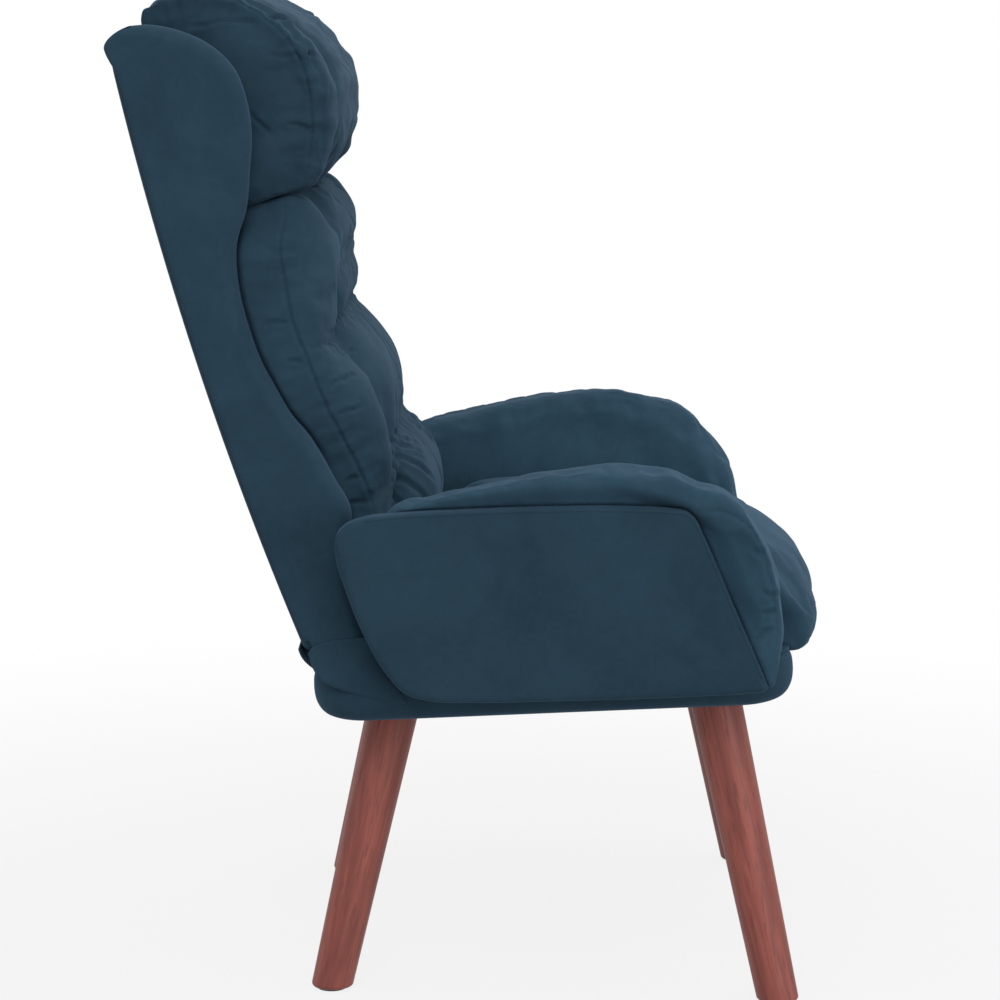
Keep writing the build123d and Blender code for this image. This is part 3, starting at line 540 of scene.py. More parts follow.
def spread(tree, value, low, high, to_low=0.0, to_high=1.0):
    """A value mapped smoothly from low..high to to_low..to_high."""
    node = tree.nodes.new("ShaderNodeMapRange")
    node.interpolation_type = "SMOOTHSTEP"
    tree.links.new(value, node.inputs["Value"])
    for label, number in (("From Min", low), ("From Max", high), ("To Min", to_low), ("To Max", to_high)):
        node.inputs[label].default_value = number
    return node.outputs["Result"]


def object_point(tree, turn=(0, 0, 0)):
    """The object's own coordinates, turned by the angles turn."""
    here = tree.nodes.new("ShaderNodeTexCoord")
    mapping = tree.nodes.new("ShaderNodeMapping")
    mapping.vector_type = "POINT"
    mapping.inputs["Rotation"].default_value = turn
    tree.links.new(here.outputs["Object"], mapping.inputs["Vector"])
    return mapping.outputs["Vector"]


def nap_group():
    """Velvet nap: broad patches where the pile lies another way, faint streaks and fine pile."""
    tree, start, end = shader_group(
        "velvet_nap",
        [("Point", "NodeSocketVector", (0, 0, 0)), ("Patch Size", "NodeSocketFloat", 9.0)],
        [("Shade", "NodeSocketFloat"), ("Height", "NodeSocketFloat")],
    )
    point = start.outputs["Point"]
    patches = noise(tree, point, start.outputs["Patch Size"], 4, 0.55, 0.6)
    streaks = noise(tree, point, 55, 3, 0.6, 1.2)
    pile = noise(tree, point, 900, 2, 0.6)
    broad = spread(tree, patches, 0.32, 0.68)
    fine = spread(tree, streaks, 0.3, 0.7)
    shade = math_node(tree, "MULTIPLY_ADD", broad, 0.62, math_node(tree, "MULTIPLY", fine, 0.26))
    shade = math_node(tree, "MULTIPLY_ADD", pile, 0.22, shade)
    tree.links.new(shade, end.inputs["Shade"])
    height = math_node(tree, "MULTIPLY_ADD", streaks, 0.5, math_node(tree, "MULTIPLY", pile, 0.35))
    tree.links.new(height, end.inputs["Height"])
    return tree


def grain_group():
    """Timber grain: noise drawn out along the local z axis, with thin dark pores."""
    tree, start, end = shader_group(
        "timber_grain",
        [("Point", "NodeSocketVector", (0, 0, 0)), ("Stretch", "NodeSocketFloat", 0.06)],
        [("Shade", "NodeSocketFloat"), ("Pores", "NodeSocketFloat"), ("Height", "NodeSocketFloat")],
    )
    squeeze = tree.nodes.new("ShaderNodeCombineXYZ")
    squeeze.inputs[0].default_value = squeeze.inputs[1].default_value = 1
    tree.links.new(start.outputs["Stretch"], squeeze.inputs[2])
    drawn = tree.nodes.new("ShaderNodeVectorMath")
    drawn.operation = "MULTIPLY"
    tree.links.new(start.outputs["Point"], drawn.inputs[0])
    tree.links.new(squeeze.outputs[0], drawn.inputs[1])
    bands = noise(tree, drawn.outputs[0], 60, 5, 0.6, 0.8)
    pores = noise(tree, drawn.outputs[0], 420, 3, 0.6)
    tree.links.new(spread(tree, bands, 0.33, 0.66), end.inputs["Shade"])
    thin = spread(tree, pores, 0.52, 0.68)
    tree.links.new(thin, end.inputs["Pores"])
    tree.links.new(math_node(tree, "MULTIPLY_ADD", thin, -0.6, bands), end.inputs["Height"])
    return tree


def weave_group():
    """Plain weave: two crossed sets of threads, and a little unevenness."""
    tree, start, end = shader_group(
        "plain_weave",
        [("Point", "NodeSocketVector", (0, 0, 0)), ("Threads", "NodeSocketFloat", 900.0)],
        [("Shade", "NodeSocketFloat"), ("Height", "NodeSocketFloat")],
    )
    axes = tree.nodes.new("ShaderNodeSeparateXYZ")
    tree.links.new(start.outputs["Point"], axes.inputs[0])
    across = math_node(tree, "SINE", math_node(tree, "MULTIPLY", axes.outputs[0], start.outputs["Threads"]))
    rest = math_node(tree, "ADD", axes.outputs[1], axes.outputs[2])
    along = math_node(tree, "SINE", math_node(tree, "MULTIPLY", rest, start.outputs["Threads"]))
    both = math_node(tree, "MULTIPLY", across, along)
    uneven = noise(tree, start.outputs["Point"], 40, 3)
    shade = math_node(tree, "MULTIPLY_ADD", both, 0.25, uneven)
    tree.links.new(shade, end.inputs["Shade"])
    tree.links.new(both, end.inputs["Height"])
    return tree


GROUPS = {}


def group_node(tree, name, point, values):
    """Places a shader group in a material, made once and kept in GROUPS."""
    makers = {"velvet_nap": nap_group, "timber_grain": grain_group, "plain_weave": weave_group}
    if name not in GROUPS:
        GROUPS[name] = makers[name]()
    node = tree.nodes.new("ShaderNodeGroup")
    node.node_tree = GROUPS[name]
    tree.links.new(point, node.inputs["Point"])
    for label, value in values.items():
        node.inputs[label].default_value = value
    return node


def surface_material(name, dark, light, group, values, turn=(0, 0, 0), roughness=0.6, bump=0.2,
                     bump_distance=0.0006, metallic=0.0, settings=None, pores=None):
    """A Principled material: its colour runs from dark to light by a group's Shade, and the group's
    Height is its bump."""
    material = bpy.data.materials.new(name)
    material.use_nodes = True
    tree = material.node_tree
    shader = tree.nodes["Principled BSDF"]
    node = group_node(tree, group, object_point(tree, turn), values)
    mix = tree.nodes.new("ShaderNodeMix")
    mix.data_type = "RGBA"
    mix.inputs[6].default_value = (*dark, 1)
    mix.inputs[7].default_value = (*light, 1)
    tree.links.new(node.outputs["Shade"], mix.inputs[0])
    colour = mix.outputs[2]
    if pores:
        deeper = tree.nodes.new("ShaderNodeMix")
        deeper.data_type = "RGBA"
        deeper.inputs[7].default_value = (*pores, 1)
        tree.links.new(math_node(tree, "MULTIPLY", node.outputs["Pores"], 0.55), deeper.inputs[0])
        tree.links.new(colour, deeper.inputs[6])
        colour = deeper.outputs[2]
    tree.links.new(colour, shader.inputs["Base Color"])
    relief = tree.nodes.new("ShaderNodeBump")
    relief.inputs["Strength"].default_value = bump
    relief.inputs["Distance"].default_value = bump_distance
    tree.links.new(node.outputs["Height"], relief.inputs["Height"])
    tree.links.new(relief.outputs["Normal"], shader.inputs["Normal"])
    shader.inputs["Roughness"].default_value = roughness
    shader.inputs["Metallic"].default_value = metallic
    for label, value in (settings or {}).items():
        shader.inputs[label].default_value = value
    return material


def velvet(name, lift=1.0):
    """The chair's velvet: a dark nap that lightens at a grazing angle, its colours times lift, a painted light or
    painted shade for some pieces.
    """
    look = bpy.context.scene.chair_velvet
    dark, light = (tuple(lift * c for c in colour) for colour in (look.dark, look.light))
    sheen = {
        "Sheen Weight": look.sheen,
        "Sheen Roughness": 0.45,
        "Sheen Tint": (0.30, 0.55, 0.88, 1),
        "Specular IOR Level": 0.12,
    }
    return surface_material(
        name, dark, light, "velvet_nap", {"Patch Size": 9.0},
        roughness=0.9, bump=0.35, bump_distance=0.0008, settings=sheen,
    )


MATERIALS = {}


def shared(name, maker, *values, **named):
    """A material that several pieces share, made at its first use."""
    if name not in MATERIALS:
        MATERIALS[name] = maker(name, *values, **named)
    return MATERIALS[name]


def chair_velvet(lift=1.0):
    """The velvet of a kind of piece: a lit or shaded copy, its colours lightened or darkened by lift as painted
    light or painted shade.
    """
    return shared(f"velvet_{round(100 * lift)}", velvet, lift)


# Finishes of the frame's slots: dark and light colour, shader group with its values, and the rest
FRAME_FINISHES = {
    "frame_timber": (
        (0.42, 0.27, 0.14), (0.62, 0.44, 0.25), "timber_grain", {"Stretch": 0.5},
        {"roughness": 0.7, "bump": 0.15, "pores": (0.3, 0.18, 0.09)},
    ),
    "plywood": (
        (0.47, 0.32, 0.18), (0.66, 0.49, 0.3), "timber_grain", {"Stretch": 0.12},
        {"roughness": 0.65, "bump": 0.1, "pores": (0.36, 0.23, 0.12)},
    ),
    "zinc_steel": (
        (0.42, 0.43, 0.45), (0.62, 0.63, 0.66), "velvet_nap", {"Patch Size": 60.0},
        {"roughness": 0.38, "bump": 0.05, "metallic": 1.0},
    ),
    "spring_wire": (
        (0.2, 0.2, 0.21), (0.36, 0.36, 0.38), "velvet_nap", {"Patch Size": 90.0},
        {"roughness": 0.45, "bump": 0.05, "metallic": 1.0},
    ),
    "glide_plastic": (
        (0.012, 0.012, 0.013), (0.03, 0.03, 0.032), "velvet_nap", {"Patch Size": 80.0},
        {"roughness": 0.5, "bump": 0.1},
    ),
    "black_cloth": (
        (0.008, 0.008, 0.009), (0.02, 0.02, 0.022), "plain_weave", {"Threads": 1500.0},
        {"roughness": 0.95, "bump": 0.4},
    ),
    "webbing": (
        (0.3, 0.24, 0.15), (0.5, 0.42, 0.3), "plain_weave", {"Threads": 700.0},
        {"roughness": 0.95, "bump": 0.4},
    ),
}


def frame_finish(slot):
    """The material that all frame parts of a slot share."""
    *shade, rest = FRAME_FINISHES[slot]
    return shared(slot, surface_material, *shade, **rest)


def stained_leg(name, turn):
    """Reddish-brown stain on close-grained timber, with the grain along one leg."""
    look = bpy.context.scene.chair_wood
    return surface_material(
        name, look.dark, look.light, "timber_grain", {"Stretch": look.grain_stretch},
        turn=turn, roughness=look.roughness, bump=0.25, bump_distance=0.0004,
        settings={"Specular IOR Level": 0.35}, pores=look.pores,
    )


# ---------------------------------------------------------------- outlines

# Knots of curves are in millimetres, and single sizes in metres

# Wing: distance in front of the shell's rear corner, and height up the back
WING_FRONT = (
    (62, -30), (62, 20), (64, 60), (76, 98), (84, 128), (78, 157), (73, 183), (67, 206), (58, 228),
    (51, 259), (45, 292), (44, 327), (45, 349), (50, 380), (57, 403), (77, 434), (91, 467),
    (103, 498), (109, 532), (107, 564), (92, 592), (72, 611), (53, 623), (39, 629), (26, 632),
)
WING_FOOT_RADIUS = 0.0365
WING_FOOT_LOW = HINGE_IN_BACK[1] - WING_FOOT_RADIUS

# Head cushion: rear, top, front and bottom runs at its seams, its ridges and its middle
HEAD_SEAM = (
    ((36, 434.5), (35, 530), (35, 616)),
    ((35, 616), (30, 631), (35, 642), (47, 647), (62, 648), (86, 646), (108, 639)),
    ((108, 639), (127, 627), (141, 613), (156, 592), (165, 571), (169, 548), (167.5, 522), (162, 498),
     (155, 477), (147, 460), (137, 445), (128, 434.5)),
    ((128, 434.5), (80, 434.5), (36, 434.5)),
)
HEAD_RIDGE = (
    ((36, 434.5), (36, 530), (36, 618)),
    ((36, 618), (33, 634), (40, 645), (54, 649), (80, 650), (105, 645)),
    ((105, 645), (132, 627), (152, 607), (169, 588), (182, 566), (188, 546), (188, 529), (183, 506),
     (177, 488), (171, 470), (165, 456), (158, 444), (149, 434.5)),
    ((149, 434.5), (90, 434), (36, 434.5)),
)
HEAD_MIDDLE = (
    ((36, 434.5), (36, 530), (36, 618)),
    ((36, 618), (34, 636), (43, 646), (57, 650), (80, 650.5), (103, 645)),
    ((103, 645), (123, 629), (142, 610), (162, 592), (181, 573), (192, 555), (195, 537), (190.5, 515),
     (183.5, 495), (180, 477), (177, 462), (173, 447), (166, 435)),
    ((166, 435), (90, 434), (36, 434.5)),
)
HEAD_COUNTS = (30, 26, 70, 24)
HEAD_RIDGE_AT = 0.202

# Back cushion: rear, top, upper front, lower front and bottom runs, which meet in the deep channel
BACK_SEAM = (
    ((38, 72), (38, 250), (38, 432.5)),
    ((38, 432.5), (75, 432.5), (112, 432)),
    ((112, 432), (109, 418), (101, 400), (95, 384), (91, 362), (89, 345), (86, 322), (86, 305), (88, 288)),
    ((88, 288), (88.5, 274), (90, 250), (92, 221), (95, 200), (99, 172), (102, 150), (104, 135),
     (104, 112), (106, 96), (108, 82), (100, 67)),
    ((100, 67), (68, 62), (38, 70)),
)
BACK_RIDGE = (
    ((36, 66), (36, 250), (36, 432.5)),
    ((36, 432.5), (85, 433), (124, 432.5)),
    ((124, 432.5), (136, 427), (141, 414), (143, 402), (141, 382), (137, 357), (131, 328), (124, 302),
     (112, 284)),
    ((112, 284), (119, 268), (127, 248), (133, 234), (136, 218), (138, 196), (136, 174), (133, 161),
     (126, 143), (117, 124), (112, 106), (113, 90), (114, 76), (104, 60)),
    ((104, 60), (66, 55), (36, 66)),
)
BACK_MIDDLE = (
    ((36, 60), (36, 250), (36, 432.5)),
    ((36, 432.5), (95, 433), (147, 432.5)),
    ((147, 432.5), (153, 424), (153, 403), (150, 382), (146, 366), (141, 358), (143, 351), (138, 344),
     (139, 337), (138, 321), (135, 311), (127, 304)),
    ((127, 304), (127, 294), (132, 281), (140, 262), (146, 243), (150, 224), (152, 207), (149, 188),
     (144, 176), (136, 168), (145, 158), (153, 146), (158, 128), (161, 109), (160, 92), (153, 70), (140, 52)),
    ((140, 52), (100, 46), (36, 60)),
)
BACK_COUNTS = (60, 24, 70, 90, 24)
BACK_RIDGE_AT = 0.200

# Seat cushion: rear, top, nose and bottom runs, as distance behind y = 0 and height above the base's
# underside. The arm cushions, the arm panels and the flaps below use the same two measures.
SEAT_MIDDLE = (
    ((24, 54), (31, 92), (30, 132), (20, 156)),
    ((20, 156), (-10, 163), (-70, 168), (-150, 169), (-215, 161), (-250, 152)),
    ((-250, 152), (-272, 145.5), (-291, 138.5), (-308, 131.5), (-323, 123), (-338, 112), (-350, 101),
     (-359, 90), (-364, 78), (-364, 66), (-357, 54), (-347, 44), (-337, 38.5), (-323, 41)),
    ((-323, 41), (-306, 51), (-250, 52), (-120, 52), (24, 54)),
)
SEAT_SIDE = (
    ((24, 58), (32, 90), (31, 122), (20, 141)),
    ((20, 141), (-10, 147), (-70, 149), (-150, 147), (-215, 141), (-246, 134)),
    ((-246, 137), (-266, 129), (-284, 118), (-300, 105), (-313, 92), (-323, 81), (-329, 71), (-331, 62),
     (-329, 52), (-324, 45), (-317, 43), (-308, 47)),
    ((-308, 47), (-298, 53), (-250, 55), (-120, 55), (24, 58)),
)
SEAT_COUNTS = (26, 60, 60, 60)
SEAT_RIDGE_AT, SEAT_RIDGE_SHARE = 0.105, 0.86

# Arm cushion: rear, top, front and bottom runs at its crest and at its two faces
ARM_MIDDLE = (
    ((74, 54), (74, 130), (74, 196)),
    ((74, 196), (72, 208), (57, 219), (30, 227), (-12, 234), (-50, 241.5), (-100, 248), (-150, 250),
     (-190, 244.5), (-220, 236), (-236, 229)),
    ((-236, 229), (-252, 219), (-268, 204), (-286, 177), (-297, 150), (-303, 124), (-306, 100), (-307, 80),
     (-303, 62), (-292, 50)),
    ((-292, 50), (-268, 49), (-120, 52), (74, 54)),
)
ARM_SIDE = (
    ((72, 56), (72, 120), (72, 182)),
    ((72, 182), (70, 192), (56, 200), (30, 206), (-12, 212), (-50, 216), (-100, 218), (-150, 218),
     (-190, 215), (-218, 210), (-234, 205)),
    ((-234, 205), (-252, 198), (-266, 188), (-281, 170), (-290, 148), (-294, 124), (-297, 100), (-297, 78),
     (-294, 54), (-286, 36)),
    ((-286, 36), (-262, 45), (-120, 53), (72, 56)),
)
ARM_COUNTS = (24, 60, 44, 60)
ARM_INNER, ARM_OUTER = 0.2505, 0.3225
ARM_RIDGE_SHARE = 0.9
ARM_ROLL = 0.0205
ARM_LEAN = 0.020
FRONT_DROP = 0.019

# Painted light and painted shade: factors on the velvet's colours, lighter on arm cushions and seat cushion and
# darker on head cushion and panels, in place of how the light falls on them
PAD_PAINTED_LIGHT, SEAT_PAINTED_LIGHT, HEAD_PAINTED_SHADE, PANEL_PAINTED_SHADE = 1.30, 1.16, 0.90, 0.93

# Arm panel: lower and upper edges from the front foot to the rear corner
PANEL_LOWER = (
    (-288, 28), (-284, 24.5), (-270, 23), (-222, 22), (-87, 23), (0, 25), (37, 28), (61, 36), (79, 57),
    (97, 92), (114, 141), (121, 168), (122, 184),
)
PANEL_UPPER = (
    (-288, 28), (-284, 39), (-256, 112), (-231, 177), (-223, 195), (-216, 202), (-200, 205),
    (-160, 208.5), (-87, 211.5), (0, 212), (60, 211), (95, 208), (110, 203), (119, 194), (122, 184),
)
PANEL_START, PANEL_LENGTH = -0.288, 0.410
PANEL_INNER, PANEL_OUTER = 0.3232, 0.345

# The panel's rear turns in: where the turn starts, and its inner face. The welt's line stands off the
# panel's edge by WELT_OFF.
TURN_START, TURN_INNER = 0.0625, 0.2895
WELT_X, WELT_RADIUS, WELT_OFF = 0.3436, 0.0021, 0.0026

# Seam between an arm's roll and its front gusset, and small folds beside it, all at GUSSET_X
GUSSET_X = 0.340
GUSSET_SEAM = (
    (-222, 204), (-234, 204), (-247, 201.5), (-258, 197.5), (-267, 191), (-277, 181), (-284.5, 168),
    (-290, 150), (-294, 130), (-297, 104), (-297.5, 82), (-294, 66),
)
GUSSET_FOLDS = (
    ((-297, 116), (-285, 121)), ((-298, 103), (-283, 98)), ((-297, 86), (-285, 82), (-274, 73)),
    ((-288, 156), (-276, 164)),
)

# Base: half its width, its front, its rear and its corners' radius, and the run of its wall from the
# deck to under the rails, as distance inwards and height
BASE_HALF_WIDTH, BASE_FRONT, BASE_REAR, BASE_CORNER = 0.300, -0.3165, 0.1515, 0.052
BASE_WALL = (
    (1.5, 47), (-1.5, 41), (-2.5, 33), (-2.3, 24), (-0.3, 14.5), (3.5, 7.5), (8, 3.2), (13, 0.7), (20, -1.4),
    (30, -2.6), (38, -2),
)

# Sewn channels of the back cushion from its right seam to its middle, as x, forward and up
BACK_CHANNELS = (
    ((-238, 90, 287), (-222, 106, 284), (-200, 112, 283), (-165, 122, 292), (-120, 127, 299), (0, 127, 302)),
    ((-150, 132, 168), (-110, 137, 168), (0, 138, 168)),
    ((-140, 140, 348), (-100, 144, 346), (0, 144, 345)),
)

# Folds, as x, forward and up: beside the wing and the seam, round the channel's end, and low down
BACK_FOLDS = (
    ((-241, 58, 323), (-241, 72, 320), (-241, 82, 316)),
    ((-241, 68, 281), (-241, 84, 278)),
    ((-232, 98, 246), (-222, 112, 246), (-212, 124, 243)),
    ((-228, 98, 216), (-216, 114, 216)),
    ((-240, 86, 150), (-240, 98, 150)),
    ((-240, 80, 128), (-236, 100, 124)),
    ((-214, 108, 284), (-204, 116, 268), (-196, 126, 258)),
    ((-212, 112, 290), (-200, 124, 298), (-188, 130, 306)),
    ((-190, 120, 284), (-176, 138, 276), (-160, 146, 268)),
)
# Fan of soft folds low on the back cushion
BACK_FANS = (
    ((-176, 116, 160), (-140, 138, 138), (-104, 152, 108)),
    ((-186, 112, 150), (-156, 130, 122), (-126, 146, 92)),
    ((-160, 126, 166), (-118, 148, 150), (-76, 158, 124)),
    ((-192, 106, 136), (-170, 120, 110), (-150, 134, 82)),
    ((-140, 134, 170), (-96, 152, 160), (-50, 158, 142)),
)
HEAD_FOLDS = (
    ((-240, 74, 612), (-240, 96, 612), (-240, 118, 607), (-240, 140, 599)),
    ((-240, 140, 566), (-236, 160, 560), (-218, 178, 550)),
    ((-240, 107, 522), (-240, 113, 508), (-240, 119, 493)),
    ((-240, 138, 501), (-240, 150, 492), (-238, 160, 484)),
    ((-236, 150, 604), (-222, 166, 596), (-208, 174, 592)),
)

# The hinge in the seat's frame, how far the base's lugs keep from it, and the lugs' range from front
# to rear, their two faces and their top
HINGE_IN_SEAT = (0.1188, 0.0899)
FOOT_CLEARANCE = 0.0375
LUG_RUN, LUG_SIDES, LUG_TOP = (0.066, 0.1185), (0.2765, 0.2845), 0.086

# Cloth under the base: its front, its rear, half its width and its corners' radius
COVER_FRONT, COVER_REAR, COVER_HALF_WIDTH, COVER_CORNER = -0.2933, 0.1283, 0.2768, 0.030

# Rear skirt: half its width, its lower edge in the seat's frame and its upper edge in the back's
SKIRT_HALF_WIDTH = 0.272
SKIRT_FOOT, SKIRT_HEAD = (0.146, DECK_UP - 0.003), (-0.006, 0.009)

# Flap of the base's cover outside a wing's foot: its inner face, its outer face at the top, and its
# lower and upper edges
FLAP_INNER, FLAP_TOP = 0.2857, 0.2876
FLAP_LOWER = ((58, 18), (75, 20), (102, 27), (125, 35), (141, 43), (149, 51), (153.5, 59), (156.5, 69))
FLAP_UPPER = ((58, 18), (60, 45), (74, 72), (96, 82), (118, 82), (138, 80), (150, 76), (156.5, 69))


def outline(runs, counts):
    """A closed outline in metres from runs of knots, each a smooth curve of its own count of points."""
    pieces = [smooth_curve(run, count + 1)[:-1] for run, count in zip(runs, counts)]
    return np.vstack(pieces) * MM


# ---------------------------------------------------------------- settings


def colour(name, description, default):
    """A setting that holds a colour."""
    return FloatVectorProperty(
        name=name, description=description, subtype="COLOR", size=3, min=0, max=1, default=default
    )


class VelvetLook(bpy.types.PropertyGroup):
    """Colours of the velvet."""

    dark: colour("Dark nap", "Colour where the pile lies away from the light", (0.0124, 0.0316, 0.0498))
    light: colour("Light nap", "Colour where the pile stands up", (0.0192, 0.0460, 0.0700))
    sheen: FloatProperty(
        name="Sheen", description="How much the pile lightens at a grazing angle",
        subtype="FACTOR", min=0, max=1, default=0.12,
    )


class WoodLook(bpy.types.PropertyGroup):
    """Stain and grain of the legs."""

    dark: colour("Dark grain", "Colour of the late wood", (0.165, 0.040, 0.0315))
    light: colour("Light grain", "Colour of the early wood", (0.275, 0.0745, 0.0565))
    pores: colour("Pores", "Colour of the stain in the pores", (0.10, 0.026, 0.021))
    grain_stretch: FloatProperty(
        name="Grain stretch", description="How far the grain is drawn out, as a share of its width",
        min=0.01, max=1, default=0.07,
    )
    roughness: FloatProperty(
        name="Roughness", description="Roughness of the satin lacquer",
        subtype="FACTOR", min=0, max=1, default=0.5,
    )


class StuffingSettings(bpy.types.PropertyGroup):
    """How the cushions are stuffed."""

    pressure: FloatProperty(
        name="Pressure", description="Pressure inside the cushions while they swell", min=0, max=20, default=4
    )
    limit: FloatProperty(
        name="Most swelling", description="Most that a point of a cushion may move",
        subtype="DISTANCE", min=0, max=0.03, default=0.010,
    )
    surplus: FloatProperty(
        name="Surplus cloth", description="How much longer the cover is than the cushion's shape",
        subtype="FACTOR", min=0, max=0.2, default=0.03,
    )


class StageLook(bpy.types.PropertyGroup):
    """Floor, lights and camera."""

    lens: FloatProperty(name="Lens", description="Focal length", subtype="DISTANCE_CAMERA", default=120)
    distance: FloatProperty(
        name="Camera distance", description="From the chair's middle plane", subtype="DISTANCE", default=3.476
    )
    height: FloatProperty(
        name="Camera height", description="Above the floor", subtype="DISTANCE", default=0.997
    )
    tilt: FloatProperty(
        name="Camera tilt", description="Below the horizon", subtype="ANGLE", default=math.radians(8.74)
    )
    brightness: FloatProperty(name="Brightness", description="Of all lights together", default=1.0, min=0)


# ---------------------------------------------------------------- pieces


def wing_edges(rows=180):
    """Rear and front edge of a wing: at each height, how far in front of the shell's rear corner.

    The front edge follows its knots. The rear edge follows the bowed panel. Both close round the
    hinge at the foot, on a circle, and at the top, on a quarter of an ellipse.
    """
    up = WING_FOOT_LOW + (WING_LENGTH - WING_FOOT_LOW) * crowded(rows)
    knots = smooth_curve(WING_FRONT, 900) * MM
    front = np.interp(up, knots[:, 1], knots[:, 0])
    beside_panel = 1 - step_up(up, 0.603, 0.034)
    lip = 0.004 * np.exp(-(((up - 0.618) / 0.022) ** 2))
    rear = 0.0010 + 0.0035 * beside_panel - rear_bow(up) - lip
    chord = np.sqrt(np.clip(WING_FOOT_RADIUS**2 - (HINGE_IN_BACK[1] - up) ** 2, 0, None))
    low = up < HINGE_IN_BACK[1]
    front = np.where(low, np.minimum(front, HINGE_IN_BACK[0] + chord), front)
    rear = np.where(low, np.maximum(rear, HINGE_IN_BACK[0] - chord), rear)
    tip, corner_up = knots[-1, 0], 0.014
    t = np.clip((up - (WING_LENGTH - corner_up)) / corner_up, 0, 1)
    rear = np.where(t > 0, tip - (tip - rear) * np.sqrt(1 - t**2), rear)
    front[-1] = rear[-1] = tip
    return pairs(rear, up), pairs(front, up)


def step_up(value, edge, width=0.004):
    """0 below edge, 1 above it, smoothly over width."""
    t = np.clip((value - edge) / width + 0.5, 0, 1)
    return t * t * (3 - 2 * t)


def panel_reach(up):
    """Half the rear panel's width: full, then in on a quarter of a circle at its corners."""
    near_top = np.clip((up - (PANEL_TOP - PANEL_CORNER)) / PANEL_CORNER, 0, 1)
    near_foot = np.clip((0.013 - up) / FOOT_CORNER, 0, 1)
    drawn_in = PANEL_CORNER * (1 - np.sqrt(1 - near_top**2)) + FOOT_CORNER * (1 - np.sqrt(1 - near_foot**2))
    return SHELL_HALF_WIDTH - 0.0065 - drawn_in


class CHAIR_OT_wings(bpy.types.Operator):
    """Padded wings of the back shell"""

    bl_idname = "chair.wings"
    bl_label = "Wings"

    def execute(self, context):
        rear, front = wing_edges()

        def inner_level(forward, up):
            """The inner face steps out behind the cushion, beside the hinge and round the rear panel."""
            inside = step_up(forward, 0.036) * step_up(up, 0.115)
            level = WING_INNER_DEEP + (WING_INNER - WING_INNER_DEEP) * inside
            beside_panel = forward + rear_bow(up) < PANEL_THICKNESS
            round_panel = np.minimum(panel_reach(up) + PANEL_GAP, WING_INNER_MOST)
            return np.where(beside_panel, np.maximum(level, round_panel), level)

        for hand, side in SIDES:
            grids = slab_grids(
                rear, front, lambda f, w, x: on_back(side * x, f, w), inner_level, SHELL_HALF_WIDTH,
                (0.001, 0.012), (0.0035, 0.015), crown=0.0015, columns=44,
            )
            piece = mesh_piece(f"{hand}_wing", grids)
            finish_piece(piece, chair_velvet(), "velvet", "backrest", f"{hand}_wing_cover")
        return {"FINISHED"}


class CHAIR_OT_rear_panel(bpy.types.Operator):
    """Padded panel that closes the back of the shell and turns in over its top"""

    bl_idname = "chair.rear_panel"
    bl_label = "Rear panel"

    def execute(self, context):
        up = PANEL_FOOT + (PANEL_TOP - PANEL_FOOT) * crowded(120)
        reach = panel_reach(up)
        grids = slab_grids(
            pairs(-reach, up), pairs(reach, up),
            lambda x, w, h: on_back(x, -rear_bow(w) - h, w), -PANEL_THICKNESS, 0.0,
            (0.002, 0.002), (0.009, 0.009), crown=0.002, columns=80,
        )
        for half, (near, far), (low, high), upper_round in PANEL_ROLLS:
            x = np.linspace(-1, 1, 60) * half
            grids += slab_grids(
                pairs(x, 0 * x + near), pairs(x, 0 * x + far), on_back, low, high,
                (0.003, 0.003), upper_round, columns=12,
            )
        piece = mesh_piece("rear_panel", grids)
        finish_piece(piece, chair_velvet(), "velvet", "backrest", "rear_back_panel")
        return {"FINISHED"}


def seam_lines(runs, counts, half_width, place, first, last):
    """The sewn seam of both ends of a box cushion, from outline point first to outline point last."""
    line = outline(runs, counts)[first:last]
    return [place(side * half_width, line[:, 0], line[:, 1]) for side in (-1.0, 1.0)]


def held_near(lines, width, flat):
    """A hold that is 1 on lines and falls as exp(-(d / width)^2), and 1 wherever flat(points) is true."""

    def hold(points):
        gap = np.full(len(points), 1e9)
        for line in lines:
            gap = np.minimum(gap, distance_to_line(points, line)[0])
        return np.where(flat(points), 1.0, np.exp(-((gap / width) ** 2)))

    return hold


def strokes(rows, place):
    """Short sewing strokes on both sides of a cushion, from rows of (x, forward, up) knots in mm."""
    lines = []
    for row in rows:
        knots = smooth_curve(row, 12) * MM if len(row) > 2 else even_points(np.array(row, float), 8) * MM
        for side in (-1.0, 1.0):
            lines.append(place(-side * knots[:, 0], knots[:, 1], knots[:, 2]))
    return lines


